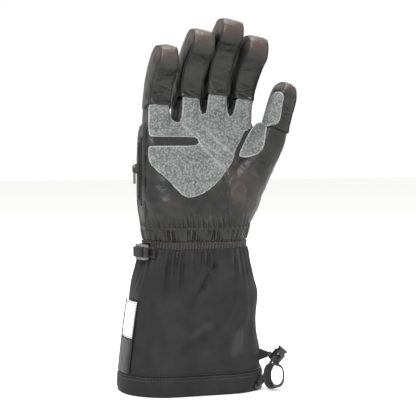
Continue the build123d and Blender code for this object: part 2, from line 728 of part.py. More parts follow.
def lock_place():
    """Frame of the cord lock: z along the barrel to the button, x across it and y along the cord hole."""
    out, forward, up = LOCK_MIDDLE
    return toggle_place() * Location((out, -forward, up), (0, 90 - LOCK_TILT, 0))


def cord_hole():
    """What the cord's two ends need through the lock."""
    slot = SlotCenterToCenter(2 * CORD_APART, CORD + 2 * MOVE_GAP)
    return Pos(0, 0, LOCK_HOLE_RISE) * extrude(Plane.XZ * slot, LOCK_WIDTH, both=True)


def plunger_window():
    """Lower and upper edge of the plunger's window: shut on the cords at rest, and clear of them when pressed."""
    low = LOCK_HOLE_RISE - CORD / 2 - FIT_GAP
    return low, low + CORD + 2 * FIT_GAP + BUTTON_TRAVEL


def lock_barrel():
    half = LOCK_LENGTH / 2
    low_out = Align.CENTER, Align.CENTER, Align.MIN
    barrel = Cylinder(LOCK_WIDTH / 2, LOCK_LENGTH)
    barrel = fillet(barrel.edges().filter_by(GeomType.CIRCLE).sort_by(Axis.Z)[0], 1.0)
    bore = Cylinder(LOCK_WIDTH / 2 - LOCK_WALL, LOCK_LENGTH, align=low_out)
    barrel -= Pos(0, 0, LOCK_WALL - half) * bore
    barrel -= cord_hole()
    out, along = LUG
    thick = TAB_THICK + 2 * FIT_GAP
    cheeks = Box(out, thick + 2 * LUG_CHEEK, along) - Box(2 * out, thick, 2 * along)
    lug = Pos(-(LOCK_WIDTH + out) / 2 + LOCK_WALL / 2, 0, (along + 1 - LOCK_LENGTH) / 2) * cheeks
    return lock_place() * (barrel + (lug - Cylinder(LOCK_WIDTH / 2 - LOCK_WALL / 2, 2 * LOCK_LENGTH)))


def lock_plunger():
    """Stem with the window for the cords, under the button's cap."""
    low, high = plunger_window()
    bottom, top = low - PLUNGER_FLOOR, LOCK_LENGTH / 2 + BUTTON_OUT
    radius = LOCK_WIDTH / 2 - LOCK_WALL - BUTTON_GAP
    stem = Pos(0, 0, (bottom + top) / 2) * Cylinder(radius, top - bottom)
    half = CORD_APART + CORD / 2 + MOVE_GAP
    stem -= block((-half, -LOCK_WIDTH, low), (half, LOCK_WIDTH, high))
    cap = Pos(0, 0, top - BUTTON_CAP / 2) * Cylinder(BUTTON_WIDTH / 2, BUTTON_CAP)
    cap = fillet(cap.edges().filter_by(GeomType.CIRCLE).sort_by(Axis.Z)[-1], 0.6)
    return lock_place() * (stem + cap)


def spring_ends():
    """Lowest and highest point of the spring, along the barrel."""
    return LOCK_WALL - LOCK_LENGTH / 2 + FIT_GAP, plunger_window()[0] - PLUNGER_FLOOR - FIT_GAP


def lock_spring():
    low, high = spring_ends()
    high -= SPRING_WIRE
    radius = LOCK_WIDTH / 2 - LOCK_WALL - BUTTON_GAP - 2 * SPRING_WIRE
    path = Helix((high - low) / SPRING_TURNS, high - low, radius)
    coil = sweep(Plane(origin=path @ 0, z_dir=path % 0) * Circle(SPRING_WIRE / 2), path=path, is_frenet=True)
    return lock_place() * Pos(0, 0, low + SPRING_WIRE / 2) * coil


def lock_tab():
    """The flat tab that ties the lock's lug to the cuff."""
    out, along = LUG
    x = -LOCK_WIDTH / 2 - FIT_GAP
    z = (along + 1 - LOCK_LENGTH) / 2
    low, high = TAB_FOOT
    middle, forward, up = LOCK_MIDDLE
    turn = radians(90 - LOCK_TILT)
    tip = []
    for rise in (z - along / 2 + 0.4, z + along / 2 - 0.4):
        tip.append((middle + x * cos(turn) + rise * sin(turn), up - x * sin(turn) + rise * cos(turn)))
    outline = make_face(Polyline((-4, low), *tip, (-4, high), close=True))
    sheet = extrude(Plane.XZ * outline, TAB_THICK / 2, both=True)
    sheet = toggle_place() * Pos(0, -forward, 0) * sheet
    return sheet - tube_core(CUFF_LEVELS, -FIT_GAP) - lock_place() * Cylinder(LOCK_WIDTH / 2 + FIT_GAP, 60)


def pull_loop():
    """A closed loop of webbing, standing on edge in front of the lock."""
    corner = LOOP_ACROSS / 2 - 0.1
    outer = RectangleRounded(LOOP_ACROSS, LOOP_HIGH, corner)
    inner = RectangleRounded(LOOP_ACROSS - 2 * LOOP_THICK, LOOP_HIGH - 2 * LOOP_THICK, corner - LOOP_THICK)
    band = extrude(Plane.XZ * (outer - inner), LOOP_WIDTH / 2, both=True)
    out, forward, up = LOOP_MIDDLE
    return toggle_place() * Pos(out, -forward, up) * band


# ---- build --------------------------------------------------------------------------------------------------------
def main():
    os.makedirs("parts", exist_ok=True)
    write("cuff_hem", cuff_hem())
    write("cuff_shell", cuff_shell())
    write("cuff_padding", cuff_padding())
    write("cuff_lining", cuff_lining())
    write("cuff_side_patch", cuff_side_patch())
    write("side_label", side_label())
    write("wrist_gather", wrist_gather())
    write("wrist_elastic", wrist_elastic())
    write("wrist_strap", wrist_strap())
    write("strap_anchor", strap_anchor())
    write("wrist_buckle", wrist_buckle())

    shell = hand_shell()
    write("palm_leather", palm_panel(shell))
    write("hand_side_panel", side_panel(shell))
    write("hand_back", back_panel(shell))
    write("hand_padding", inner_layer(HAND_WALL + FIT_GAP, HAND_PADDING))
    write("hand_lining", inner_layer(HAND_WALL + HAND_PADDING + 2 * FIT_GAP, HAND_LINING))
    write("knuckle_pad", knuckle_pad())
    write("grip_patch", grip_patch())
    write("thumb_gusset", thumb_gusset())

    digits = {name: (finger_digit(name), finger_place(name)) for name in FINGERS}
    digits["thumb"] = (thumb_digit(), thumb_place())
    for name, (digit, place) in digits.items():
        write(f"{name}_base", place * digit.base())
        write(f"{name}_grip_tab", place * digit.tab())
        write(f"{name}_front", place * digit.front())
        write(f"{name}_back", place * digit.back())
        write(f"{name}_sides", [place * wall for wall in digit.sides()])

    write("zip_tape", zip_tape())
    write("zip_teeth", zip_teeth())
    write("zip_slider", zip_slider())
    write("zip_pull", zip_pull())

    write("drawcord_end_a", cord_end(CORD_END_A))
    write("drawcord_end_b", cord_end(CORD_END_B))
    write("drawcord_in_hem", hem_cord())
    write("hem_eyelet", hem_eyelet())
    write("lock_barrel", lock_barrel())
    write("lock_plunger", lock_plunger())
    write("lock_spring", lock_spring())
    write("lock_tab", lock_tab())
    write("pull_loop", pull_loop())


if __name__ == "__main__":
    main()
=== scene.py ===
import math
import bpy
import numpy as np
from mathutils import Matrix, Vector


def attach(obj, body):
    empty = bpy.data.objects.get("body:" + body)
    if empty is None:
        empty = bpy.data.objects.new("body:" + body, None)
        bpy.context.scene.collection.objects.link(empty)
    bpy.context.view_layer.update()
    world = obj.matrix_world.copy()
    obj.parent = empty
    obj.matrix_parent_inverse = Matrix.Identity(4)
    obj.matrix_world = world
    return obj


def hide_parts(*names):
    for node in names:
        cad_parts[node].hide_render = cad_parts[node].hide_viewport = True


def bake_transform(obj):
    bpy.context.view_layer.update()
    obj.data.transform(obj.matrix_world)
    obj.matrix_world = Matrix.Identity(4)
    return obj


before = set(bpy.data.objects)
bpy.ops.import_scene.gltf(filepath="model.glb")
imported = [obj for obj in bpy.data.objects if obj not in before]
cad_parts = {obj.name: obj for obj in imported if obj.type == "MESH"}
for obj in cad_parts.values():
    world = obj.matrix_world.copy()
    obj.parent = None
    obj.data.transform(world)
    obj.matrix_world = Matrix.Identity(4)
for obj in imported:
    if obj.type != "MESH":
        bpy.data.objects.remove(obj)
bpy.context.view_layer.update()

# Ski glove in black leather on a softshell cuff. Shapes are worked out in millimetres and written in metres.
mm = 0.001

# camera
cameraView = {"azimuth": -18.0, "elevation": 3.0, "distance": 1.2, "lens": 113.0,
              "aim": (0.0158, -0.0051, 0.166)}


def addCamera(view):
    # the camera stands back from the aim along the direction that its azimuth and elevation give
    a, e = math.radians(view["azimuth"]), math.radians(view["elevation"])
    back = Vector((math.sin(a) * math.cos(e), -math.cos(a) * math.cos(e), math.sin(e)))
    data = bpy.data.cameras.new("camera")
    data.lens = view["lens"]
    camera = bpy.data.objects.new("camera", data)
    bpy.context.collection.objects.link(camera)
    camera.location = Vector(view["aim"]) + back * view["distance"]
    camera.rotation_mode = "QUATERNION"
    camera.rotation_quaternion = (-back).to_track_quat("-Z", "Y")
    bpy.context.scene.camera = camera


addCamera(cameraView)
print("camera set")


# materials
def linearOf(hexColour):
    # sRGB to linear: a channel under 0.04045 is divided by 12.92, the rest are ((c + 0.055) / 1.055) to the
    # 2.4
    c = np.array([int(hexColour[i : i + 2], 16) for i in (1, 3, 5)]) / 255
    return (*np.where(c < 0.04045, c / 12.92, ((c + 0.055) / 1.055) ** 2.4).tolist(), 1.0)


def addNode(tree, kind, settings=None, links=None):
    # one node with its settings; a key that is an input's name or number sets that input
    node = tree.nodes.new(kind)
    for key, value in (settings or {}).items():
        if isinstance(key, int) or key in node.inputs:
            node.inputs[key].default_value = value
        else:
            setattr(node, key, value)
    for key, socket in (links or {}).items():
        tree.links.new(socket, node.inputs[key])
    return node


def finishOf(name, look):
    # a finish: two tones in soft patches, worn places lighter, painted highlights lighter too, and a grain of
    # real size in the bump
    material = bpy.data.materials.new(name)
    material.use_nodes = True
    tree = material.node_tree
    shader = tree.nodes["Principled BSDF"]
    place = addNode(tree, "ShaderNodeTexCoord").outputs["Object"]
    patches = addNode(tree, "ShaderNodeTexNoise", {"Scale": 1 / (look["patchMm"] * mm), "Detail": 4.0,
                                                   "Roughness": 0.6},
                      {"Vector": place})
    spread = addNode(tree, "ShaderNodeMapRange", {"From Min": 0.36, "From Max": 0.64},
                     {"Value": patches.outputs["Fac"]})
    colour = addNode(tree, "ShaderNodeMix", {"data_type": "RGBA", 6: linearOf(look["dark"]),
                                             7: linearOf(look["light"])},
                     {0: spread.outputs["Result"]}).outputs[2]
    grainSize = 1 / (look["grainMm"] * mm)
    if look["grain"] == "weave":        # crossing threads: two bands of waves, the higher one on top
        warp = addNode(tree, "ShaderNodeTexWave", {"bands_direction": "X", "Scale": grainSize / 3.2,
                                                   "Distortion": 0.6,
                       "Detail": 1.0, "Detail Scale": 2.0}, {"Vector": place})
        weft = addNode(tree, "ShaderNodeTexWave", {"bands_direction": "Z", "Scale": grainSize / 3.2,
                                                   "Distortion": 0.6,
                       "Detail": 1.0, "Detail Scale": 2.0}, {"Vector": place})
        height = addNode(tree, "ShaderNodeMath", {"operation": "MAXIMUM"},
                         {0: warp.outputs["Fac"], 1: weft.outputs["Fac"]}).outputs[0]
    elif look["grain"] == "pebble":     # leather grain: cells with sunk edges
        cells = addNode(tree, "ShaderNodeTexVoronoi", {"feature": "F1", "Scale": grainSize,
                                                       "Randomness": 1.0},
                        {"Vector": place})
        height = addNode(tree, "ShaderNodeMapRange", {"From Min": 0.05, "From Max": 0.65, "To Min": 1.0,
                                                      "To Max": 0.0},
                         {"Value": cells.outputs["Distance"]}).outputs["Result"]
    else:                               # a soft nap or the fine haze of a moulding
        height = addNode(tree, "ShaderNodeTexNoise", {"Scale": grainSize, "Detail": 3.0},
                         {"Vector": place}).outputs["Fac"]
    if "speckle" in look:               # the grain's tops are paler than its hollows
        strength = addNode(tree, "ShaderNodeMath", {"operation": "MULTIPLY", 1: look["speckleShare"]},
                           {0: height})
        colour = addNode(tree, "ShaderNodeMix", {"data_type": "RGBA", 7: linearOf(look["speckle"])},
                         {0: strength.outputs[0], 6: colour}).outputs[2]
    if "marksAndHighlightTone" in look:                  # the attribute marks rubbed edges and cut rims, and is painted highlight on the tops of the fingertips
        wear = addNode(tree, "ShaderNodeAttribute", {"attribute_name": "wear"})
        colour = addNode(tree, "ShaderNodeMix", {"data_type": "RGBA", 7: linearOf(look["marksAndHighlightTone"])},
                         {0: wear.outputs["Fac"], 6: colour}).outputs[2]
    tree.links.new(colour, shader.inputs["Base Color"])
    rough = addNode(tree, "ShaderNodeMapRange", {"To Min": look["rough"][0], "To Max": look["rough"][1]},
                    {"Value": patches.outputs["Fac"]})
    tree.links.new(rough.outputs["Result"], shader.inputs["Roughness"])
    fine = addNode(tree, "ShaderNodeBump", {"Strength": look["bump"], "Distance": look["bumpMm"] * mm},
                   {"Height": height})
    tree.links.new(fine.outputs["Normal"], shader.inputs["Normal"])
    shader.inputs["Metallic"].default_value = look.get("metallic", 0.0)
    shader.inputs["Specular IOR Level"].default_value = look.get("specular", 0.5)
    shader.inputs["Sheen Weight"].default_value = look.get("sheen", 0.0)
    shader.inputs["Sheen Roughness"].default_value = 0.4
    shader.inputs["Sheen Tint"].default_value = linearOf(look.get("sheenTint", "#ffffff"))
    shader.inputs["Coat Weight"].default_value = look.get("coat", 0.0)
    shader.inputs["Coat Roughness"].default_value = 0.3
    return material


finishes = {
    # full-grain goat leather, drum dyed black and lightly waxed: soft gloss; its warm brown tone is a painted
    # highlight on the fingertips and also lightens raised crests of the palm and wrist
    "waxedGoatLeather": {"dark": "#101010", "light": "#1d1c1b", "marksAndHighlightTone": "#5a4a41", "patchMm": 16,
                         "grain": "pebble",
                         "grainMm": 1.3, "bump": 0.5, "bumpMm": 0.25, "rough": (0.34, 0.5), "sheen": 0.04,
                         "sheenTint": "#b79e8c", "specular": 0.4},
    # the same hide from the side of the skin, for finger walls and the side panel: a little flatter and
    # greyer
    "waxedSideLeather": {"dark": "#131313", "light": "#222222", "marksAndHighlightTone": "#56514d", "patchMm": 12,
                         "grain": "pebble",
                         "grainMm": 1.1, "bump": 0.45, "bumpMm": 0.22, "rough": (0.42, 0.58), "sheen": 0.04,
                         "specular": 0.35},
    # polyurethane-coated grip suede, embossed: pale grey with a pebble of raised dots, drawn a little coarse
    # to show
    "embossedGripSuede": {"dark": "#464948", "light": "#5a5d5c", "marksAndHighlightTone": "#a9acaa", "speckle": "#989b99",
                          "speckleShare": 0.6, "patchMm": 9, "grain": "pebble", "grainMm": 1.9, "bump": 0.6,
                          "bumpMm": 0.4, "rough": (0.7, 0.85), "sheen": 0.05},
    # polyester softshell, woven face on fleece: matt charcoal, threads drawn at 0.9 mm so that they show
    "wovenSoftshell": {"dark": "#1c1c1d", "light": "#262627", "marksAndHighlightTone": "#3e3e3e", "patchMm": 22,
                       "grain": "weave",
                       "grainMm": 0.9, "bump": 0.3, "bumpMm": 0.2, "rough": (0.72, 0.88), "sheen": 0.06,
                       "sheenTint": "#9a9a9a", "specular": 0.22},
    # nylon webbing and binding, woven: ribs with a low lustre
    "wovenNylonWebbing": {"dark": "#0d0d0e", "light": "#161617", "marksAndHighlightTone": "#3c3c3d", "patchMm": 8,
                          "grain": "weave",
                          "grainMm": 1.1, "bump": 0.7, "bumpMm": 0.3, "rough": (0.5, 0.65), "sheen": 0.05,
                          "specular": 0.35},
    # brushed polyester fleece: a deep soft nap
    "brushedFleece": {"dark": "#161617", "light": "#222223", "patchMm": 7, "grain": "nap", "grainMm": 0.7,
                      "bump": 0.9,
                      "bumpMm": 0.6, "rough": (0.9, 1.0), "sheen": 0.15, "specular": 0.2},
    # acetal lock and zip parts, injection moulded with a spark-eroded haze
    "mouldedAcetal": {"dark": "#0c0c0d", "light": "#131314", "patchMm": 6, "grain": "haze", "grainMm": 0.4,
                      "bump": 0.15, "bumpMm": 0.05, "rough": (0.3, 0.42), "specular": 0.6},
    # die-cast zinc buckle in grey lacquer: even, satin, faintly metallic
    "lacqueredZinc": {"dark": "#666665", "light": "#777775", "patchMm": 8, "grain": "haze", "grainMm": 0.5,
                      "bump": 0.1, "bumpMm": 0.03, "rough": (0.36, 0.46), "metallic": 0.5},
    # drawn steel, plated: spring and eyelet
    "platedSteel": {"dark": "#4c4c4a", "light": "#5e5e5b", "patchMm": 5, "grain": "haze", "grainMm": 0.5,
                    "bump": 0.1, "bumpMm": 0.02, "rough": (0.26, 0.36), "metallic": 1.0},
    # damask label, woven in satin: pale and fine
    "damaskLabel": {"dark": "#cfd0d3", "light": "#dcdddf", "marksAndHighlightTone": "#8d9094", "patchMm": 10, "grain": "weave",
                    "grainMm": 0.6, "bump": 0.25, "bumpMm": 0.1, "rough": (0.5, 0.62), "sheen": 0.2},
    # bonded polyester thread: rounded, slightly glossy
    "bondedThread": {"dark": "#232322", "light": "#2e2d2c", "patchMm": 4, "grain": "nap", "grainMm": 0.3,
                     "bump": 0.3, "bumpMm": 0.05, "rough": (0.45, 0.6), "sheen": 0.1},
    # braided polyester drawcord: matt black with a round braid, its plaits drawn at 0.9 mm
    "braidedCord": {"dark": "#0d0d0d", "light": "#171718", "patchMm": 3, "grain": "pebble", "grainMm": 0.9,
                    "bump": 0.8, "bumpMm": 0.3, "rough": (0.6, 0.75), "sheen": 0.05},
}
made = {name: finishOf(name, look) for name, look in finishes.items()}
print("finishes made:", len(made))


# shared shape functions
def smoothStep(low, high, value):
    # 0 under low, 1 over high, and 3t² - 2t³ between them
    t = np.clip((value - low) / (high - low), 0, 1)
    return t * t * (3 - 2 * t)


def smoothNoise(points, size, seed):
    # the mean of ten sine waves of about the given length, each along its own seeded direction
    rng = np.random.default_rng(seed)
    total = np.zeros(points.shape[:-1])
    for _ in range(10):
        direction = rng.normal(size=3)
        direction /= np.linalg.norm(direction)
        wave = 2 * np.pi / (size * rng.uniform(0.6, 1.5))
        total = total + np.sin(points @ direction * wave + rng.uniform(0, 2 * np.pi))
    return total / 4


def creaseLine(x, z, start, end, depth, width):
    # a furrow along a straight line: depth times exp(-(distance / width)²), faded at both ends
    run = np.array(end, float) - np.array(start, float)
    length = np.hypot(*run)
    along = ((x - start[0]) * run[0] + (z - start[1]) * run[1]) / length**2
    away = ((x - start[0]) * run[1] - (z - start[1]) * run[0]) / length
    fade = smoothStep(-0.1, 0.15, along) * (1 - smoothStep(0.8, 1.1, along))
    return depth * np.exp(-((away / width) ** 2)) * fade


def levelsAt(table, heights):
    # middle x, half width, half depth and corner radius at each height, by a cubic through the table's rows
    rows = np.array(table, float)
    zs, values = rows[:, 0], rows[:, 1:]
    slopes = np.gradient(values, zs, axis=0)
    i = np.clip(np.searchsorted(zs, heights) - 1, 0, len(zs) - 2)
    h = zs[i + 1] - zs[i]
    t = np.clip((heights - zs[i]) / h, 0, 1)[..., None]
    h = h[..., None]
    out = ((2 * t**3 - 3 * t**2 + 1) * values[i] + (t**3 - 2 * t**2 + t) * h * slopes[i]
           + (3 * t**2 - 2 * t**3) * values[i + 1] + (t**3 - t**2) * h * slopes[i + 1])
    return [out[..., k] for k in range(4)]


def ringPoint(turn, table, heights, grow=0.0):
    # a rounded rectangle: turn 0 is the middle of the palm side, 0.25 the thumb side, 0.5 the back, by arc
    # length
    middle, a, b, r = levelsAt(table, heights)
    a, b, r = a + grow, b + grow, np.maximum(r + grow, 0.3)
    r = np.minimum(r, np.minimum(a, b) - 0.05)
    turn = np.mod(turn, 1.0)
    quarter = np.floor(turn * 4)
    f = turn * 4 - quarter
    q = np.where(quarter % 2 == 1, 1 - f, f)
    flat, arc, side = a - r, np.pi / 2 * r, b - r
    s = q * (flat + arc + side)
    phi = np.clip((s - flat) / r, 0, np.pi / 2)
    x = np.minimum(s, flat) + r * np.sin(phi)
    y = -(side + r * np.cos(phi)) + np.clip(s - flat - arc, 0, None)
    x = np.where(quarter >= 2, -x, x)
    y = np.where((quarter == 1) | (quarter == 2), -y, y)
    return np.stack([x + middle, y, heights + 0 * x], -1)


def gridNormals(points, around=False, middle=None):
    # the cross product of the two differences at each grid point, turned away from the middle
    if around:
        across = np.roll(points, -1, axis=1) - np.roll(points, 1, axis=1)
    else:
        across = np.gradient(points, axis=1)
    normal = np.cross(np.gradient(points, axis=0), across)
    normal /= np.maximum(np.linalg.norm(normal, axis=-1, keepdims=True), 1e-9)
    centre = points.reshape(-1, 3).mean(0) if middle is None else np.array(middle, float)
    if np.sum(normal * (points - centre)) < 0:
        normal = -normal
    return normal


def addPiece(name, points, faces, finish, body=None, wear=None, wall=0.0, offset=-1.0, middle=None,
             smooth=True):
    # a mesh object at the origin; faces are turned so that they look away from the middle
    points = np.asarray(points, float).reshape(-1, 3)
    faces = [np.asarray(f) for f in (faces if isinstance(faces, list) else [faces])]
    centre = points.mean(0) if middle is None else np.array(middle, float)
    first = faces[0]
    normal = np.cross(points[first[:, 1]] - points[first[:, 0]], points[first[:, 2]] - points[first[:, 0]])
    if middle is not False and np.sum(normal * (points[first].mean(1) - centre)) < 0:
        faces = [f[:, ::-1] for f in faces]
    mesh = bpy.data.meshes.new(name)
    mesh.from_pydata((points * mm).tolist(), [], [f for group in faces for f in group.tolist()])
    if wear is not None:
        mark = mesh.attributes.new("wear", "FLOAT", "POINT")
        mark.data.foreach_set("value", np.clip(np.asarray(wear, float).reshape(-1), 0, 1).astype(np.float32))
    if smooth:
        mesh.shade_smooth()
    mesh.materials.append(made[finish])
    piece = bpy.data.objects.new(name, mesh)
    bpy.context.collection.objects.link(piece)
    if wall:
        solid = piece.modifiers.new("wall", "SOLIDIFY")
        solid.thickness = wall * mm
        solid.offset = offset
    if body:
        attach(piece, body)
    return piece


def gridFaces(rows, columns, around=False):
    index = np.arange(rows * columns).reshape(rows, columns)
    here, beside = (index, np.roll(index, -1, axis=1)) if around else (index[:, :-1], index[:, 1:])
    return np.stack([here[:-1], beside[:-1], beside[1:], here[1:]], -1).reshape(-1, 4)


def gridPiece(name, points, finish, around=False, **more):
    # a surface of rows and columns, closed round its columns if it goes around
    if "middle" not in more:
        more["middle"] = points.reshape(-1, 3).mean(0)
    wear = more.pop("wear", None)
    return addPiece(name, points, gridFaces(*points.shape[:2], around), finish, wear=wear, **more)


def evenPath(points, step, closed=False):
    # the same polyline at even steps of its length
    points = np.asarray(points, float)
    if closed:
        points = np.vstack([points, points[:1]])
    lengths = np.r_[0, np.cumsum(np.linalg.norm(np.diff(points, axis=0), axis=1))]
    count = max(3, int(round(lengths[-1] / step)) + 1)
    at = np.linspace(0, lengths[-1], count)[: -1 if closed else None]
    return np.stack([np.interp(at, lengths, points[:, k]) for k in range(3)], -1)


def softCorners(points, times=2, closed=False):
    # each corner is cut at a quarter of its two runs, again and again
    points = np.asarray(points, float)
    for _ in range(times):
        ahead = np.roll(points, -1, axis=0) if closed else points[1:]
        here = points if closed else points[:-1]
        cut = np.stack([0.75 * here + 0.25 * ahead, 0.25 * here + 0.75 * ahead], 1).reshape(-1,
                points.shape[1])
        points = cut if closed else np.vstack([points[:1], cut, points[-1:]])
    return points


def pathFrame(points, up, closed=False):
    # tangent, side and up vectors along a path, from a reference up
    if closed:
        tangent = np.roll(points, -1, axis=0) - np.roll(points, 1, axis=0)
    else:
        tangent = np.gradient(points, axis=0)
    tangent /= np.maximum(np.linalg.norm(tangent, axis=1, keepdims=True), 1e-9)
    side = np.cross(tangent, np.broadcast_to(np.asarray(up, float), points.shape))
    side /= np.maximum(np.linalg.norm(side, axis=1, keepdims=True), 1e-9)
    return tangent, side, np.cross(side, tangent)


def pipingMesh(path, radius, up, closed=False):
    # a circle of the radius carried along the path; open ends are closed with a point
    sides = 8
    _, side, above = pathFrame(path, up, closed)
    angle = np.arange(sides) * 2 * np.pi / sides
    ring = path[:, None] + radius * (np.cos(angle)[None, :, None] * side[:, None]
                                     + np.sin(angle)[None, :, None] * above[:, None])
    points, n = ring.reshape(-1, 3), len(path)
    index = np.arange(n * sides).reshape(n, sides)
    if closed:
        index = np.vstack([index, index[:1]])
    beside = np.roll(index, -1, axis=1)
    faces = [np.stack([index[:-1], index[1:], beside[1:], beside[:-1]], -1).reshape(-1, 4)]
    if not closed:
        points = np.vstack([points, path[:1], path[-1:]])
        low, high = np.full(sides, n * sides), np.full(sides, n * sides + 1)
        faces.append(np.stack([low, index[0], beside[0]], -1))
        faces.append(np.stack([high, beside[-1], index[-1]], -1))
    return points, faces


def mergeMeshes(parts):
    points, quads, tris, start = [], [], [], 0
    for p, groups in parts:
        points.append(p)
        for g in groups:
            (quads if g.shape[1] == 4 else tris).append(g + start)
        start += len(p)
    faces = [np.vstack(quads)] if quads else []
    if tris:
        faces.append(np.vstack(tris))
    return np.vstack(points), faces


def pipingPiece(name, paths, radius, up, finish, body=None, closed=False):
    points, faces = mergeMeshes([pipingMesh(p, radius, up, closed) for p in paths])
    return addPiece(name, points, faces, finish, body=body, middle=False)


def stitchPiece(name, paths, up, body=None, pitch=3.0, length=2.1, thread=0.35, closed=False):
    # short threads: a six-sided spindle at every pitch along each path
    parts = []
    for path in paths:
        centres = evenPath(path, pitch, closed)
        tangent, side, above = pathFrame(centres, up, closed)
        angle = np.arange(6) * np.pi / 3
        steps = np.array([(-0.5, 0.35), (-0.3, 1.0), (0.3, 1.0), (0.5, 0.35)])
        ring = (centres[:, None, None] + steps[None, :, 0, None, None] * length * tangent[:, None, None]
                + thread * steps[None, :, 1, None, None]
                * (np.cos(angle)[None, None, :, None] * side[:, None, None]
                   + np.sin(angle)[None, None, :, None] * above[:, None, None]))
        n = len(centres)
        index = np.arange(n * 24).reshape(n, 4, 6)
        beside = np.roll(index, -1, axis=2)
        quads = np.stack([index[:, :-1], index[:, 1:], beside[:, 1:], beside[:, :-1]], -1).reshape(-1, 4)
        ends = [np.stack([index[:, k, 0], index[:, k, a], index[:, k, b]], -1) for k,
                order in ((0, 1), (3, -1))
                for a, b in ((1, 2), (2, 3), (3, 4), (4, 5))[::order]]
        ends = [e if i < 4 else e[:, ::-1] for i, e in enumerate(ends)]
        parts.append((ring.reshape(-1, 3), [quads, np.vstack(ends)]))
    points, faces = mergeMeshes(parts)
    return addPiece(name, points, faces, "bondedThread", body=body, middle=False)


def bandMesh(path, wide, half):
    # a flat ribbon: a row of points across the wide direction at each point of the path
    across = np.linspace(-half, half, 7)
    wide = np.broadcast_to(np.asarray(wide, float), path.shape)
    return path[:, None] + across[None, :, None] * wide[:, None]


# drawcord, lock and pull loop
toggle = {"origin": (61.6, -16.0, 0.0), "turn": 18.0, "cord": 2.4,
          "routeA": [(-3.2, 17.3, 5.4), (2.3, 20.5, 5.6), (4.5, 14.8, 10.6), (8.95, 7.6, 16.25),
                     (13.65, -0.6, 20.7),
                     (17.0, -4.2, 25.6), (18.66, -1.0, 29.4), (18.66, 15.5, 29.4), (16.4, 19.8, 24.0)],
          "routeB": [(-4.8, 20.1, 5.4), (0.7, 23.3, 5.6), (3.9, 16.2, 13.2), (7.45, 8.4, 18.75),
                     (11.55, -0.4, 22.9),
                     (14.6, -4.2, 27.6), (16.2, -1.0, 31.46), (16.2, 15.5, 31.46), (13.2, 19.8, 24.0)],
          "lengths": (0.068, 0.072),
          "tab": [(-5, 24), (8.9, 29.5), (11.6, 32.7), (-5, 39)], "tabForward": 8.0, "tabThick": 1.2,
          "loop": (14.6, 20.0, 13.8), "loopAcross": 16.0, "loopHigh": 21.0, "loopWidth": 7.2,
          "loopThick": 1.3,
          "loopTwist": 74.0}


def fromToggle(points):
    # out from the cuff, forward and up, turned about the vertical into the object's own frame
    points = np.asarray(points, float)
    c, s = math.cos(math.radians(toggle["turn"])), math.sin(math.radians(toggle["turn"]))
    out, forward, up = points[..., 0], points[..., 1], points[..., 2]
    return np.stack([out * c - forward * s, -out * s - forward * c, up], -1) + np.array(toggle["origin"])


def makeLoop(spec):
    # an oval band; its width turns from forward on the thumb side to face the palm side on the other
    angle = np.linspace(0, 2 * np.pi, 73)[:-1]
    power = 0.75        # between an ellipse and a rectangle
    cosA, sinA = np.cos(angle), np.sin(angle)
    out = (spec["loopAcross"] - spec["loopThick"]) / 2 * np.sign(cosA) * np.abs(cosA) ** power
    up = (spec["loopHigh"] - spec["loopThick"]) / 2 * np.sign(sinA) * np.abs(sinA) ** power
    twist = np.radians(spec["loopTwist"]) * smoothStep(-0.2, 0.85, -cosA)
    plane = np.stack([out, 0 * out, up], -1)
    tangent = np.roll(plane, -1, axis=0) - np.roll(plane, 1, axis=0)
    tangent /= np.linalg.norm(tangent, axis=1, keepdims=True)
    normal = np.stack([tangent[:, 2], 0 * out, -tangent[:, 0]], -1)
    wide = np.cos(twist)[:, None] * np.array([0, 1.0, 0]) + np.sin(twist)[:, None] * normal
    grid = bandMesh(plane, wide, spec["loopWidth"] / 2)
    grid = fromToggle(grid + np.array(spec["loop"]))
    rows, columns = grid.shape[:2]
    index = np.arange(rows * columns).reshape(rows, columns)
    index = np.vstack([index, index[:1]])
    faces = np.stack([index[:-1, :-1], index[:-1, 1:], index[1:, 1:], index[1:, :-1]], -1).reshape(-1, 4)
    edge = np.abs(np.linspace(-1, 1, columns))[None, :] > 0.9
    piece = addPiece("pullLoop", grid, faces, "wovenNylonWebbing", body="cuff", wall=spec["loopThick"],
                     offset=0.0,
                     wear=np.broadcast_to(0.5 * edge, (rows, columns)))
    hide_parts("pull_loop")
    return piece


def makeTab(spec):
    # a tapering strip from the cuff's seam to the lock's lug, its corners running between two straight edges
    low1, low2, high2, high1 = [np.array(p, float) for p in spec["tab"]]
    t, s = np.linspace(0, 1, 14)[:, None, None], np.linspace(0, 1, 8)[None, :, None]
    plane = (1 - s) * ((1 - t) * low1 + t * low2) + s * ((1 - t) * high1 + t * high2)
    sag = 0.5 * np.sin(np.pi * t[..., 0]) * np.ones_like(s[..., 0])
    grid = fromToggle(np.stack([plane[..., 0], spec["tabForward"] + sag, plane[..., 1]], -1))
    edge = np.broadcast_to((np.abs(s[..., 0] - 0.5) > 0.45) * 0.5, grid.shape[:2])
    piece = gridPiece("lockTab", grid, "wovenNylonWebbing", body="cuff", wall=spec["tabThick"], offset=0.0,
                      wear=edge,
                      middle=(40, 0, 30))
    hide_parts("lock_tab")


def makeCord(name, route, node):
    # a NURBS line whose control points are the cord's route, with a round section
    curve = bpy.data.curves.new(name, "CURVE")
    curve.dimensions = "3D"
    spline = curve.splines.new("NURBS")
    points = fromToggle(route) * mm
    spline.points.add(len(points) - 1)
    spline.points.foreach_set("co", np.c_[points, np.ones(len(points))].ravel())
    spline.order_u = 3
    spline.use_endpoint_u = True
    spline.resolution_u = 12
    curve.bevel_depth = toggle["cord"] / 2 * mm
    curve.bevel_resolution = 4
    curve.use_fill_caps = True
    curve.materials.append(made["braidedCord"])
    piece = bpy.data.objects.new(name, curve)
    bpy.context.collection.objects.link(piece)
    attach(piece, "cuff")
    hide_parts(node)
    return piece


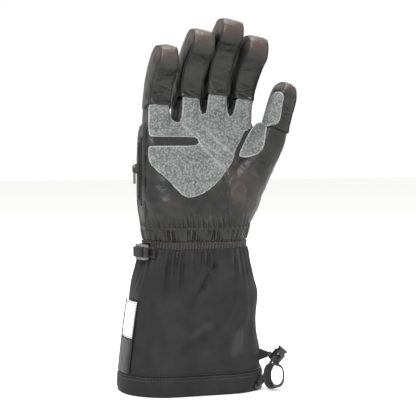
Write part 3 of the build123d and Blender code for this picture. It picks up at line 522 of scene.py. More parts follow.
pullLoop = makeLoop(toggle)
makeTab(toggle)
makeCord("drawcordEndA", toggle["routeA"], "drawcord_end_a")
makeCord("drawcordEndB", toggle["routeB"], "drawcord_end_b")
print("cords, lock tab and pull loop made")

# cuff
cuff = {
    # height, middle x, half width, half depth, corner radius
    "levels": [(16.0, 0, 65.2, 43.8, 40), (18.1, 0, 65, 43.6, 40), (52, 0, 61, 42, 38), (94, 2.5, 57, 39, 36),
               (110, 2.9, 53.2, 35.6, 32.5), (120, 3.1, 50.9, 33.6, 31),
               (131, 3.8, 48.6, 31.6, 29.5)],
    "hem": [(0, 0, 67, 45, 42), (18, 0, 67, 45, 42)],
    "pleats": 46, "pleatDepth": 1.5, "wall": 3.2, "lining": 4.6,
}


def cuffRelief(points, turn):
    # slow swells, gathers that fade downwards from the wrist, and the long folds
    x, y, z = points[..., 0], points[..., 1], points[..., 2]
    front = 1 - smoothStep(-20, 0, y)
    wander = 0.35 * np.sin(z / 9.0 + 7 * turn * np.pi) + 0.5 * np.sin(2 * np.pi * turn * 5 + 1.0)
    fade = smoothStep(86, 122, z) ** 1.2 * (1 - 0.6 * smoothStep(126, 131, z))
    strapped = ((turn > 0.24) & (turn < 0.8)) * np.exp(-(((z - 128) / 6) ** 4))
    uneven = 0.65 + 0.35 * np.sin(2 * np.pi * turn * 9 + 0.7)
    relief = cuff["pleatDepth"] * fade * uneven * np.sin(2 * np.pi * turn * cuff["pleats"] + wander)
    middle = smoothStep(20, 40, z)
    relief = relief + middle * (1.3 * smoothNoise(points, 46, 3) + 0.6 * smoothNoise(points * [1, 1, 0.45],
            15, 4))
    relief = relief + front * (creaseLine(x, z, (18, 122), (-6, 86), -3.2, 2.6)
                               + creaseLine(x, z, (-6, 88), (-14, 56), -1.8, 4.0)
                               + creaseLine(x, z, (34, 122), (31, 80), -2.2, 2.2)
                               + creaseLine(x, z, (-30, 122), (-36, 78), -1.9, 2.4)
                               + creaseLine(x, z, (-44, 88), (-50, 20), -2.4, 2.6)
                               + creaseLine(x, z, (44, 78), (26, 30), 1.5, 4.0)
                               + creaseLine(x, z, (36, 76), (16, 34), -1.2, 3.0)
                               + creaseLine(x, z, (6, 118), (2, 90), -1.4, 1.8)
                               + creaseLine(x, z, (-16, 120), (-20, 96), -1.4, 1.8)
                               + creaseLine(x, z, (10, 66), (-30, 42), 1.2, 5.0))
    side = np.exp(-(((turn - 0.77) / 0.05) ** 2)) * (z < 86)
    return relief * (1 - 0.9 * side) * (1 - 0.8 * strapped) - 0.5 * strapped


def makeCuff(spec):
    turn = np.linspace(0, 1, 421)[:-1][None, :]
    height = np.linspace(16.5, 130.6, 150)[:, None]
    turn, height = np.broadcast_arrays(turn, height)
    base = ringPoint(turn, spec["levels"], height)
    relief = cuffRelief(base, turn)
    points = base + gridNormals(base, around=True) * relief[..., None]
    shell = gridPiece("cuffShell", points, "wovenSoftshell", around=True, body="cuff", wall=spec["wall"],
                      wear=np.clip(relief - 1.0, 0, 1) * 0.4)
    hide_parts("cuff_shell", "cuff_padding")
    inner = ringPoint(turn[::3, ::3], spec["levels"], height[::3, ::3], grow=-spec["lining"])
    inner = inner - gridNormals(inner, around=True) * (0.4 * smoothNoise(inner, 9, 5))[..., None]
    lining = gridPiece("cuffLining", inner, "brushedFleece", around=True, body="cuff", wall=0.8)
    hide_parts("cuff_lining")
    # the hem: a closed band section carried round, swollen between its edges, with a seam where it meets the
    # shell
    section = np.array([(-4.4, 0.9), (-3.4, 0.1), (-1.6, 0.0), (-0.5, 0.5), (0.0, 1.6), (0.35, 5), (0.5, 9),
                        (0.35, 13),
                        (-0.1, 15.6), (-0.7, 16.9), (-1.4, 17.6), (-1.8, 18.4), (-2.4, 18.6), (-3.4, 18.2),
                        (-4.4, 17.5), (-4.6, 9)])
    loops = [ringPoint(turn[0], spec["hem"], np.full(turn.shape[1], h), grow=g) for g, h in section]
    hem = np.stack(loops + loops[:1], 0)
    ripple = 0.25 * smoothNoise(hem, 12, 6)[..., None] * np.array([1, 1, 0])
    flat = hem - np.array([0, 0, 9.0])
    hem = hem + ripple * flat / np.linalg.norm(flat, axis=-1, keepdims=True) * smoothStep(1.5, 4,
            hem[..., 2:3])
    rows = len(section)
    index = np.arange(rows * turn.shape[1]).reshape(rows, -1)
    index = np.vstack([index, index[:1]])
    beside = np.roll(index, -1, axis=1)
    faces = np.stack([index[:-1], beside[:-1], beside[1:], index[1:]], -1).reshape(-1, 4)
    band = addPiece("cuffHem", hem[:-1], faces, "wovenSoftshell", body="cuff", middle=False)
    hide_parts("cuff_hem", "drawcord_in_hem")
    round_ = np.linspace(0, 1, 401)[:-1]
    for name, height_, grow in (("hemSeamUpper", 17.2, 0.0), ("hemSeamLower", 14.6, 0.3)):
        path = ringPoint(round_, spec["hem"], np.full(400, height_), grow=grow)
        stitchPiece(name, [path], (0, 0, 1), body="cuff", closed=True, thread=0.32)
    low = ringPoint(round_, spec["levels"], np.full(400, 19.2), grow=0.3)
    pipingPiece("hemPiping", [low], 0.7, (0, 0, 1), "wovenNylonWebbing", body="cuff", closed=True)


def sidePanelGrid(lowZ, highZ, grow, count=(34, 40), frontY=-17.5, backY=11.5):
    # a window on the pinky side of the cuff: each row of the level's left side between two depths
    z = np.linspace(lowZ, highZ, count[0])[:, None]
    y = np.linspace(frontY, backY, count[1])[None, :]
    z, y = np.broadcast_arrays(z, y)
    middle, a, b, r = levelsAt(cuff["levels"], z)
    a, b, r = a + grow, b + grow, r + grow
    x = middle - (a - r) - np.sqrt(np.clip(r**2 - np.clip(np.abs(y) - (b - r), 0, None) ** 2, 0, None))
    return np.stack([x, y, z], -1)


def makeCuffSide():
    points = sidePanelGrid(18.6, 49.8, 1.5)
    points[..., 0] -= 0.25 * smoothNoise(points, 12, 7)
    patch = gridPiece("cuffSidePatch", points, "waxedSideLeather", body="cuff", wall=1.3, middle=(0, 0, 35))
    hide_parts("cuff_side_patch")
    label = sidePanelGrid(50.2, 83, 1.0)
    z, y = label[..., 2], label[..., 1]
    lines = sum(np.exp(-(((z - at) / 0.5) ** 4)) * (np.abs(y + 3) < wide) for at,
                wide in ((70, 9), (66.5, 9), (60, 5)))
    label[..., 0] -= 0.12 * smoothNoise(label, 9, 8)
    piece = gridPiece("sideLabel", label, "damaskLabel", body="cuff", wall=0.7, wear=lines, middle=(0, 0, 66))
    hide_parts("side_label")
    border = sidePanelGrid(51.4, 81.8, 1.15, (30, 30), -16.3, 10.3)
    edge = np.vstack([border[0], border[1:, -1], border[-1, ::-1][1:], border[::-1, 0][1:-1]])
    stitchPiece("labelStitches", [edge], (1, 0, 0.001), body="cuff", closed=True, pitch=2.4, length=1.6,
                thread=0.25)
    seams = [sidePanelGrid(18.6, 84, 1.2, (60, 2), y0, y0 + 1)[:, 0] for y0 in (-18.3, 12.2)]
    pipingPiece("cuffSideSeams", seams, 0.65, (1, 0, 0), "wovenNylonWebbing", body="cuff")
    inner = [sidePanelGrid(19.4, 49.0, 1.65, (40, 2), y0, y0 + 1)[:, 0] for y0 in (-15.9, 9.9)]
    stitchPiece("cuffSideStitches", inner, (1, 0, 0), body="cuff", thread=0.3)


makeCuff(cuff)
makeCuffSide()
print("cuff made")

# wrist
wrist = {"levels": [(108, 2.8, 52.2, 35.0, 32), (117, 3, 51.2, 33.7, 31), (124, 3.3, 49.4, 32.2, 30),
                    (130, 3.7, 47.9, 30.9, 29), (134, 4, 47.4, 30.5, 28.5), (138, 4.3, 47.7, 30.6, 28.5),
                    (144, 4.7, 49.0, 31.2, 28.5), (150, 5.1, 50.0, 31.4, 28)],
         "pleats": 58, "casing": (129.6, 137.4), "start": (0.0035, 0, 0.123), "end": (0.0045, 0, 0.146)}


def makeWrist(spec):
    turn = np.linspace(0, 1, 561)[:-1][None, :]
    height = np.linspace(124, 150, 70)[:, None]
    turn, height = np.broadcast_arrays(turn, height)
    base = ringPoint(turn, spec["levels"], height)
    low, high = spec["casing"]
    casing = smoothStep(low - 1, low + 1, height) * (1 - smoothStep(high - 1, high + 1, height))
    wander = 0.9 * np.sin(height / 5.0 + 12 * np.pi * turn) + 0.8 * np.sin(2 * np.pi * turn * 7)
    pleat = np.sin(2 * np.pi * turn * spec["pleats"] + wander)
    tight = np.sin(2 * np.pi * turn * 96 + 0.7 * np.sin(2 * np.pi * turn * 11))
    ends = smoothStep(128, 131, height) * (1 - smoothStep(146, 149.5, height))
    uneven = 0.6 + 0.4 * np.sin(2 * np.pi * turn * 13 + height / 6)
    groove = sum(np.exp(-(((height - z) / 0.7) ** 2)) for z in (low, high))
    relief = ends * (1 - casing) * (1.25 * uneven * pleat - 0.2) + casing * (0.5 * tight + 0.7) - 1.0 * groove
    strap = np.where((turn > 0.24) & (turn < 0.8), 1, 0) * np.exp(-(((height - 128) / 6) ** 4))
    relief = relief * (1 - 0.8 * strap) - 0.6 * strap - 1.6 * (1 - smoothStep(126, 130, height))
    points = base + gridNormals(base, around=True) * relief[..., None]
    gather = gridPiece("wristGather", points, "waxedGoatLeather", around=True, wall=1.2,
                       wear=np.clip(relief - 0.6, 0, 1) * 0.45)
    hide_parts("wrist_gather")
    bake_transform(gather)
    inner = ringPoint(turn[::4, ::4], spec["levels"], height[::4, ::4], grow=-3.2)
    lining = gridPiece("wristElastic", inner, "brushedFleece", around=True, wall=0.8)
    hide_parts("wrist_elastic")
    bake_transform(lining)
    round_ = np.linspace(0, 1, 401)[:-1]
    for name, z in (("casingStitchesLower", low + 1.4), ("casingStitchesUpper", high - 1.4)):
        path = ringPoint(round_, spec["levels"], np.full(400, z), grow=1.1)
        rows = stitchPiece(name, [path], (0, 0, 1), closed=True, pitch=2.6, length=1.8, thread=0.28)
        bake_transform(rows)


# the webbing strap: round the back from the thumb side, under the buckle's middle bar and back over it
strap = {"z": 128.0, "width": 9.0, "thick": 1.3, "ring": [(110, 3, 52.3, 34.8, 31.8),
                                                          (140, 3, 52.3, 34.8, 31.8)],
         "centre": (-17.5, -3.0), "turn": 19.0, "reach": 33.9}


def fromBuckle(points):
    # along the buckle towards the back, and inwards from its middle plane
    turn = math.radians(strap["turn"])
    facing = np.array([-math.cos(turn), -math.sin(turn)])
    back = np.array([-math.sin(turn), math.cos(turn)])
    centre = np.array(strap["centre"]) + facing * strap["reach"]
    flat = centre + np.outer(points[:, 0], back) - np.outer(points[:, 1], facing)
    return np.c_[flat, np.full(len(points), strap["z"])]


def makeStrap(spec):
    round_ = np.linspace(0.262, 0.735, 160)
    ring = ringPoint(round_, spec["ring"], np.full(160, spec["z"]))
    turn = fromBuckle(np.array([(8.6, 2.3), (4.0, 2.5), (0.4, 2.4), (-1.7, 1.6), (-2.1, 0.0), (-1.7, -1.7),
                                (0.6, -2.3),
                                (5.0, -2.4), (9.8, -2.2)]))
    path = evenPath(softCorners(np.vstack([ring, turn]), 2), 1.2)
    short = fromBuckle(np.array([(-15.6, 3.4), (-12.0, 2.6), (-8.4, 2.5), (-5.9, 1.7), (-5.3, 0.0),
                                 (-5.9, -1.8),
                                 (-8.2, -2.4), (-12.2, -1.6)]))
    for name, line, node in (("wristStrap", path, "wrist_strap"),
                             ("strapAnchor", evenPath(softCorners(short, 2), 0.8), "strap_anchor")):
        grid = bandMesh(line, (0, 0, 1.0), spec["width"] / 2)
        edge = np.broadcast_to(0.35 * (np.abs(np.linspace(-1, 1, 7)) > 0.9), grid.shape[:2])
        piece = gridPiece(name, grid, "wovenNylonWebbing", body="cuff", wall=spec["thick"], offset=0.0,
                          wear=edge)
        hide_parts(node)


makeWrist(wrist)
makeStrap(strap)
print("wrist made")

# fingers: their frames and sections
digits = {
    "pinky": {"root": (-32.9, 0, 243), "lean": 4.2, "halfWidth": 11.3, "halfDepth": 12.5, "straight": 20,
              "curl": 44,
              "bend": 50, "tipRun": 6, "tabTop": 18.0, "joint": 26, "baseShare": 0.97},
    "ring": {"root": (-6.5, 0, 243), "lean": 7.2, "halfWidth": 12.0, "halfDepth": 12.5, "straight": 27,
             "curl": 54,
             "bend": 50, "tipRun": 6, "tabTop": 24.6, "joint": 26, "baseShare": 0.78},
    "middle": {"root": (20.0, 0, 243), "lean": 6.7, "halfWidth": 12.0, "halfDepth": 12.5, "straight": 36,
               "curl": 55,
               "bend": 50, "tipRun": 6, "tabTop": 27.0, "joint": 26, "baseShare": 0.82},
    "index": {"root": (46.0, 0, 243), "lean": 7.0, "halfWidth": 11.3, "halfDepth": 12.5, "straight": 24,
              "curl": 52,
              "bend": 50, "tipRun": 6, "tabTop": 23.4, "joint": 26, "baseShare": 0.84},
    "thumb": {"root": (71.5, -17, 226), "halfWidth": 11.3, "halfDepth": 11.5, "straight": 23.4, "curl": 50,
              "bend": 24,
              "tipRun": 2, "tabTop": 14.0, "joint": 25, "baseShare": 1.0, "sway": -4.6, "tipRound": 0.42},
}
for name, d in digits.items():
    if name == "thumb":
        along = np.array([0.36, -0.02, 0.93])
        along /= np.linalg.norm(along)
        pad = np.array([0, -1.0, 0])
        pad = pad - along * pad.dot(along)
        pad /= np.linalg.norm(pad)
        d["axes"] = np.array([np.cross(-pad, along), -pad, along])
    else:
        lean = math.radians(d["lean"])
        d["axes"] = np.array([(math.cos(lean), 0, -math.sin(lean)), (0, 1, 0),
                              (math.sin(lean), 0, math.cos(lean))])
    d["corner"] = 5.6 if name == "thumb" else 4.6
    d["tipRound"] = d.get("tipRound", {"pinky": 0.22}.get(name, 0.12))
    d["length"] = d["straight"] + d["curl"] * math.radians(d["bend"]) + d["tipRun"]


def fromDigit(d, points):
    return np.asarray(points, float) @ d["axes"] + np.array(d["root"], float)


def digitLine(d, s):
    # the middle line in side view: straight up, then an arc towards the palm side, then straight to the tip
    bend = math.radians(d["bend"])
    theta = np.clip((s - d["straight"]) / d["curl"], 0, bend)
    y = -d["curl"] + d["curl"] * np.cos(theta)
    z = np.minimum(s, d["straight"]) + d["curl"] * np.sin(theta)
    run = np.clip(s - d["straight"] - d["curl"] * bend, 0, None)
    return y - run * math.sin(bend), z + run * math.cos(bend), theta


def digitWidth(d, s):
    # narrow where the finger leaves the hand, full at the tip
    return d["halfWidth"] * (d["baseShare"] + (1 - d["baseShare"]) * smoothStep(8, 0.8 * d["length"], s))


def digitSway(d, s):
    # how far the line of the digit leans sideways towards its tip
    return d.get("sway", 0.0) * smoothStep(8, 56, s)


def sectionColumns():
    # half a box section with round corners, from the middle of one wall over the pad to the middle of the
    # other:
    # x = w*kw + r*kr and distance = d*kd + r*ke, with a crown of the pad's own
    wallT = np.linspace(0, 1, 8)[:-1]
    beta = np.linspace(np.pi / 2, 0, 7)
    flat = np.linspace(-1, 1, 15)[1:-1]
    side = [(-np.ones_like(wallT), 0 * wallT, wallT, -wallT, 0 * wallT, 1 - wallT**2),
            (-np.ones_like(beta), 1 - np.sin(beta), np.ones_like(beta), np.cos(beta) - 1, 0 * beta, 0 * beta)]
    middle = (flat, -flat, np.ones_like(flat), 0 * flat, 1 - flat**2, 0 * flat)
    mirror = [tuple((-c if k < 2 else c)[::-1] for k, c in enumerate(part)) for part in side[::-1]]
    parts = [np.array(part) for part in (*side, middle, *mirror)]
    return np.concatenate(parts, axis=1)


columns = sectionColumns()
seamColumns = (10, columns.shape[1] - 11)     # the middle of each round corner


def digitSurface(d, lowFront, lowBack, lift=0.0, seed=1):
    # the section carried up the pad side, round the tip by half a turn and down the back
    rows = (60, 14, 60)
    kw, kr, kd, ke, crown, belly = [c[None, :] for c in columns]
    length, r = d["length"], d["corner"]
    front = np.linspace(0, 1, rows[0])[:, None]
    sFront = lowFront[None, :] + (length - lowFront[None, :]) * front
    sBack = lowBack[None, :] + (length - lowBack[None, :]) * np.linspace(1, 0, rows[2])[:, None]
    s = np.vstack([sFront, np.full((rows[1], columns.shape[1]), length), sBack])
    phi = np.r_[np.zeros(rows[0]), np.linspace(0, np.pi, rows[1] + 2)[1:-1], np.full(rows[2], np.pi)][:, None]
    slope = (d["halfWidth"] - digitWidth(d, s)) / 2       # the back is wider than the pad near the root
    w = digitWidth(d, s) + slope * (1 - np.cos(phi) * kd)
    depth = d["halfDepth"]
    x = w * kw + r * kr + np.sign(kw) * belly * 0.7
    out = depth * kd + r * ke + crown * 0.5
    y, z, theta = digitLine(d, s)
    reach = s + out * np.sin(phi)
    x = x * (1 - d["tipRound"] * smoothStep(length - 8, length + depth, reach) ** 2)
    x = x + digitSway(d, s)
    padSide = np.cos(phi) * np.ones_like(s)
    probe = np.stack([x, y - out * padSide, z], -1)
    outer = smoothStep(0.5, 0.9, kd)
    wrinkle = 0.0
    for i, at in enumerate((4.5, 9.5, 15.5)):
        lean = (0.45, -0.3, 0.35)[i]
        wrinkle = wrinkle - 0.9 * np.exp(-(((s - d["joint"] - at + 4 + lean * x) / 1.3) ** 2))
        wrinkle = wrinkle + 0.5 * np.exp(-(((s - d["joint"] - at + 1.2 + lean * x) / 1.6) ** 2))
    wrinkle = wrinkle * np.exp(-((x / 9) ** 2)) * (padSide > 0.5)
    rolls = -0.5 * np.exp(-(((s - d["joint"] - 3) / 3.0) ** 2)) * (padSide < -0.5)
    noise = 0.28 * smoothNoise(probe, 13, seed) + 0.12 * smoothNoise(probe, 5, seed + 50)
    edge = lift * (1 - smoothStep(0.5, 6, s - lowFront[None, :])) * (padSide > 0.5)
    out = out + outer * (wrinkle + rolls + noise + edge)
    x = x + np.sign(kw) * np.abs(kw) * (1 - outer) * 0.3 * smoothNoise(probe, 11, seed + 9)
    direction = np.stack([np.zeros_like(s), -np.cos(theta) * np.cos(phi) - np.sin(theta) * np.sin(phi),
                          -np.sin(theta) * np.cos(phi) + np.cos(theta) * np.sin(phi)], -1)
    local = np.stack([x, y, z], -1) + out[..., None] * direction
    return local, s, phi


def makeDigit(name, d):
    seed = sorted(digits).index(name) * 7 + 11
    count = columns.shape[1]
    flatness = smoothStep(0.2, 0.9, columns[2])
    lowFront = 13 + (d["tabTop"] - 0.6 - 13) * flatness
    local, s, phi = digitSurface(d, lowFront, np.full(count, 13.0), lift=1.5, seed=seed)
    # painted highlight: the tops of the tips, over pad and back, turn lighter and warm brown where the light
    # catches them
    tipHighlight = smoothStep(d["length"] - 8, d["length"], s) * smoothStep(0.3, 1.0, np.sin(phi)) * flatness[None,
            :]
    world = fromDigit(d, local)
    upper = gridPiece(name + "Leather", world, "waxedGoatLeather", wall=0.5, wear=0.4 * tipHighlight)
    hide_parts(name + "_front", name + "_back", name + "_sides")
    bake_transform(upper)
    normals = gridNormals(world)
    seams = [world[:, k] + 0.15 * normals[:, k] for k in seamColumns]
    piping = pipingPiece(name + "Seams", [evenPath(p, 1.2) for p in seams], 0.5, d["axes"][0],
                         "waxedSideLeather")
    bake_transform(piping)
    return world


def lowerSleeve(name, d):
    # the finger's root: full rounded sections from inside the hand up under the upper leather
    turn = np.linspace(0, 1, 97)[:-1][None, :]
    s = np.linspace(-10, 21, 36)[:, None]
    turn, s = np.broadcast_arrays(turn, s)
    table = [(z, 0, digitWidth(d, np.array(float(z))) - 0.6, d["halfDepth"] - 0.6, d["corner"]) for z in (-11,
            0, 10, 22)]
    local = ringPoint(turn, table, s)
    pad = digitWidth(d, s)
    local[..., 0] *= 1 + (d["halfWidth"] - pad) / 2 / pad * (1 + local[..., 1] / d["halfDepth"])
    local = local + gridNormals(local, around=True) * (0.3 * smoothNoise(local, 8, 31))[..., None]
    piece = gridPiece(name + "Root", fromDigit(d, local), "waxedSideLeather", around=True, wall=0.9)
    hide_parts(name + "_base")
    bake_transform(piece)


for name, d in digits.items():
    leatherPoints = makeDigit(name, d)
    if name == "thumb":
        thumbLeatherPoints = leatherPoints
    else:
        lowerSleeve(name, d)
print("fingers made")

# hand
hand = {"levels": [(144, 4.8, 49.3, 30.9, 28), (148, 5, 49.5, 31, 28), (168, 5.5, 52.3, 29, 24),
                   (196, 5.5, 52.4, 25.5, 18),
                   (229, 6.5, 53.2, 15.6, 9), (236, 6.5, 53.0, 14.6, 9), (241, 6.6, 52.2, 12.8, 8.5),
                   (245, 6.8, 50.6, 9.6, 8),
                   (247.6, 7.0, 48.5, 5.6, 5), (249, 7.0, 46.5, 0.8, 0.7)],
        "palm": 0.205, "side": 0.705}


def handRelief(points, turn=None):
    # ball of the thumb, heel, hollow, furrows of the palm, and fine slack
    x, y, z = points[..., 0], points[..., 1], points[..., 2]
    front = 1 - smoothStep(-16, -6, y)
    away = 1 - np.exp(-(((x + 47) / 3.0) ** 2)) * (np.abs(y - 1.5) < 9)
    relief = front * (4.2 * np.exp(-(((x - 38) / 15) ** 2) - ((z - 184) / 22) ** 2)
                      + 2.4 * np.exp(-(((x + 26) / 17) ** 2) - ((z - 172) / 17) ** 2)
                      - 1.8 * np.exp(-(((x - 4) / 15) ** 2) - ((z - 206) / 15) ** 2)
                      + creaseLine(x, z, (24, 205), (28, 166), -1.6, 2.2)
                      + creaseLine(x, z, (-10, 240), (24, 196), -0.7, 2.0)
                      + creaseLine(x, z, (10, 236), (36, 206), -0.7, 2.0)
                      + creaseLine(x, z, (-38, 170), (-20, 152), -0.8, 3.0)
                      + creaseLine(x, z, (10, 170), (2, 148), -0.8, 3.0)
                      + creaseLine(x, z, (-8, 166), (-12, 148), -0.7, 2.6))
    relief = relief + (0.45 * smoothNoise(points, 26, 21) + 0.2 * smoothNoise(points, 9, 22)) * away
    if turn is not None:
        gathers = (1 - smoothStep(150, 166, z)) * (0.9 * np.sin(2 * np.pi * turn * 58 + 0.9 * np.sin(z / 5)))
        relief = relief + gathers * away
    return relief


def handGrid(turnLow, turnHigh, count):
    # even rows up to the rounding at the top, then closer rows over it
    low, bend, high, rows, topRows = 147.0, 236.0, 249.0, 96, 25
    turn = np.linspace(turnLow, turnHigh, count)[None, :]
    over = bend + (high - bend) * np.sin(np.linspace(0, np.pi / 2, topRows))[1:]
    height = np.concatenate([np.linspace(low, bend, rows), over])
    turn, height = np.broadcast_arrays(turn, height[:, None])
    base = ringPoint(turn, hand["levels"], height)
    relief = handRelief(base, turn)
    return base + gridNormals(base, middle=(5.5, 0, 200)) * relief[..., None], relief


def frontDepth(x, z):
    # how far the palm side stands forward of the middle plane: the hand and each finger's root, whichever is
    # further
    middle, a, b, r = levelsAt(hand["levels"], z)
    over = np.clip(np.abs(x - middle) - (a - r), 0, None)
    depth = (b - r) + np.sqrt(np.clip(r**2 - over**2, 0, None))
    probe = np.stack([x, -depth, z], -1)
    depth = depth + handRelief(probe)
    parts = [depth]
    for name, d in digits.items():
        if name == "thumb":
            continue
        local = np.stack([x - d["root"][0], 0 * x, z - d["root"][2]], -1) @ d["axes"].T
        w = digitWidth(d, local[..., 2]) - 0.2
        r = d["corner"]
        over = np.clip(np.abs(local[..., 0]) - (w - r), 0, 0.92 * r)
        y, _, _ = digitLine(d, local[..., 2])
        own = d["halfDepth"] - r + np.sqrt(np.clip(r**2 - over**2, 0, None)) - y
        parts.append(np.where((np.abs(local[..., 0]) < w + 4) & (local[..., 2] > -12), own, -20.0))
    stack = np.stack(parts, 0)
    peak = stack.max(0)
    return peak + np.log(np.exp((stack - peak) / 1.1).sum(0)) * 1.1 - 0.2


def outlineDistance(x, z, outline):
    # signed distance to a closed outline, negative inside, by the nearest of all its runs
    a, b = outline, np.roll(outline, -1, axis=0)
    run = b - a
    p = np.stack([x.ravel(), z.ravel()], -1)
    best, inside = np.full(len(p), 1e9), np.zeros(len(p), bool)
    for start in range(0, len(a), 40):        # forty runs at a time
        s, e, d = a[start : start + 40], b[start : start + 40], run[start : start + 40]
        rel = p[:, None] - s[None]
        t = np.clip((rel * d).sum(-1) / np.maximum((d * d).sum(-1), 1e-12), 0, 1)
        best = np.minimum(best, np.linalg.norm(rel - t[..., None] * d, axis=-1).min(1))
        crosses = (s[None, :, 1] > p[:, None, 1]) != (e[None, :, 1] > p[:, None, 1])
        at = s[None, :, 0] + (p[:, None, 1] - s[None, :, 1]) / np.where(d[:, 1] == 0, 1e-12, d[:, 1]) * d[:,
                0]
        inside ^= (np.sum(crosses & (p[:, None, 0] < at), axis=1) % 2).astype(bool)
    return np.where(inside, -best, best).reshape(x.shape)


def cutSheet(outline, low, high, left, right, step):
    # a square net of points inside the outline; those by its edge are moved onto it
    x, z = np.meshgrid(np.arange(outline[:, 0].min() - step, outline[:, 0].max() + step, step),
                       np.arange(outline[:, 1].min() - step, outline[:, 1].max() + step, step))

    def field(px, pz):
        return np.maximum.reduce([outlineDistance(px, pz, outline), low - pz, pz - high, left - px,
                                  px - right])

    for _ in range(2):
        near = field(x, z)
        h = 0.05
        gx, gz = (field(x + h, z) - near) / h, (field(x, z + h) - near) / h
        size = np.maximum(np.hypot(gx, gz), 0.3)
        move = np.where(np.abs(near) < 0.52 * step, near, 0)
        x, z = x - move * gx / size, z - move * gz / size
    near = field(x, z)
    faces = gridFaces(*x.shape)
    corners = near.ravel()[faces]
    keep = (corners < 0.08 * step).all(1) & (corners.mean(1) < -0.12 * step)
    faces = faces[keep]
    used = np.unique(faces)
    remap = np.full(x.size, -1)
    remap[used] = np.arange(len(used))
    return x.ravel()[used], z.ravel()[used], remap[faces]


gripPatch = {
    "outline": [(-42.2, 258.6), (-41.0, 260.6), (-38.6, 261.2), (-26.5, 262.2), (-24.6, 260.8),
                (-23.0, 256.0),
                (-20.8, 248.5), (-18.0, 245.0), (-15.0, 244.4), (-12.8, 246.0), (-11.3, 251.0),
                (-10.7, 267.0), (-9.8, 268.6),
                (4.6, 269.4), (5.5, 268.2), (6.6, 257.5), (8.0, 253.0), (9.8, 251.8), (11.8, 253.0),
                (13.0, 258.0),
                (14.1, 269.8), (15.0, 271.0), (30.7, 271.4), (31.7, 270.2), (32.6, 257.5), (33.8, 251.6),
                (35.6, 250.0),
                (37.6, 251.4), (39.2, 256.5), (41.0, 265.6), (42.0, 266.6), (55.4, 268.6), (56.7, 267.4),
                (56.4, 246.0),
                (55.6, 239.0), (52.4, 237.6), (47.6, 236.6), (43.6, 227.5), (37.6, 218.7), (34.2, 209.0),
                (28.6, 203.6),
                (23.4, 196.0), (15.0, 187.4), (5.0, 180.6), (-7.0, 176.6), (-14.6, 177.8), (-20.0, 183.0),
                (-29.4, 193.0),
                (-41.6, 204.6), (-43.6, 209.5), (-44.0, 219.0), (-43.4, 222.6), (-41.0, 223.2), (-2.0, 223.2),
                (2.2, 224.4),
                (3.9, 227.0), (2.2, 230.0), (-2.0, 231.2), (-40.4, 231.2), (-43.2, 232.4)],
    "split": 238.5, "between": [-15.2, 9.9, 35.6], "step": 0.95, "lift": 1.1, "wall": 1.6,
}


def patchPiece(name, region, outline):
    low, high, left, right = region
    x, z, faces = cutSheet(outline, low, high, left, right, gripPatch["step"])
    depth = frontDepth(x, z) + gripPatch["lift"]
    probe = np.stack([x, 0 * x, z], -1)
    rib = (creaseLine(x, z, (-12, 244), (30, 196), 0.45, 1.0) + creaseLine(x, z, (8, 240), (38, 212), 0.4,
            1.0)
           + creaseLine(x, z, (-2, 238), (22, 214), 0.3, 0.9))
    depth = depth + rib + 0.12 * smoothNoise(probe, 5, 41)
    rim = outlineDistance(x, z, outline)
    depth = depth - 0.5 * smoothStep(-1.0, 0.0, rim)
    wear = smoothStep(-1.0, -0.35, rim) * 0.85 + np.clip(rib, 0, 1) * 0.7
    return addPiece(name, np.stack([x, -depth, z], -1), faces, "embossedGripSuede", wear=wear,
                    wall=gripPatch["wall"],
                    middle=(5, 60, 220))


def makePalm(spec):
    points, relief = handGrid(-spec["palm"], spec["palm"], 200)
    palm = gridPiece("palmLeather", points, "waxedGoatLeather", body="hand", wall=1.4, middle=(5.5, 0, 200),
                     wear=0.25 * smoothStep(1.5, 4.0, relief))
    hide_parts("palm_leather")
    side, _ = handGrid(spec["side"], 1 - spec["palm"], 44)
    panel = gridPiece("handSidePanel", side, "waxedSideLeather", body="hand", wall=1.4, middle=(5.5, 0, 200))
    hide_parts("hand_side_panel")
    back, _ = handGrid(spec["palm"], spec["side"], 240)
    shell = gridPiece("handBack", back, "wovenSoftshell", body="hand", wall=1.4, middle=(5.5, 0, 200))
    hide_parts("hand_back", "hand_padding")
    heights = np.linspace(148, 246, 90)
    seams = []
    for turn in (-spec["palm"], spec["side"] - 1, spec["palm"]):
        seams.append(ringPoint(np.full(90, turn), spec["levels"], heights, grow=0.35))
    pipingPiece("handSeams", [evenPath(s, 1.3) for s in seams], 0.75, (1, 0, 0), "waxedSideLeather",
                body="hand")
    beside = [ringPoint(np.full(90, t), spec["levels"], np.linspace(152, 240, 90), grow=0.35)
              for t in (-spec["palm"] - 0.011, spec["side"] - 1 + 0.011)]
    stitchPiece("handSeamStitches", beside, (0, 1, 0), body="hand", thread=0.28)
    turn, height = np.broadcast_arrays(np.linspace(0, 1, 121)[:-1][None, :],
                                       np.linspace(146, 234, 40)[:, None])
    inner = ringPoint(turn, spec["levels"], height, grow=-4.4)
    lining = gridPiece("handLining", inner, "brushedFleece", around=True, body="hand", wall=0.8)
    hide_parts("hand_lining")
    return points


def makePatch(spec):
    outline = softCorners(np.array(spec["outline"]), 2, closed=True)
    body = patchPiece("gripPatch", (-1e3, spec["split"], -1e3, 1e3), outline)
    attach(body, "hand")
    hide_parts("grip_patch")
    edges = [-1e3, *spec["between"], 1e3]
    for i, name in enumerate(("pinky", "ring", "middle", "index")):
        tab = patchPiece(name + "GripTab", (spec["split"], 1e3, edges[i], edges[i + 1]), outline)
        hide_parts(name + "_grip_tab")
        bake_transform(tab)


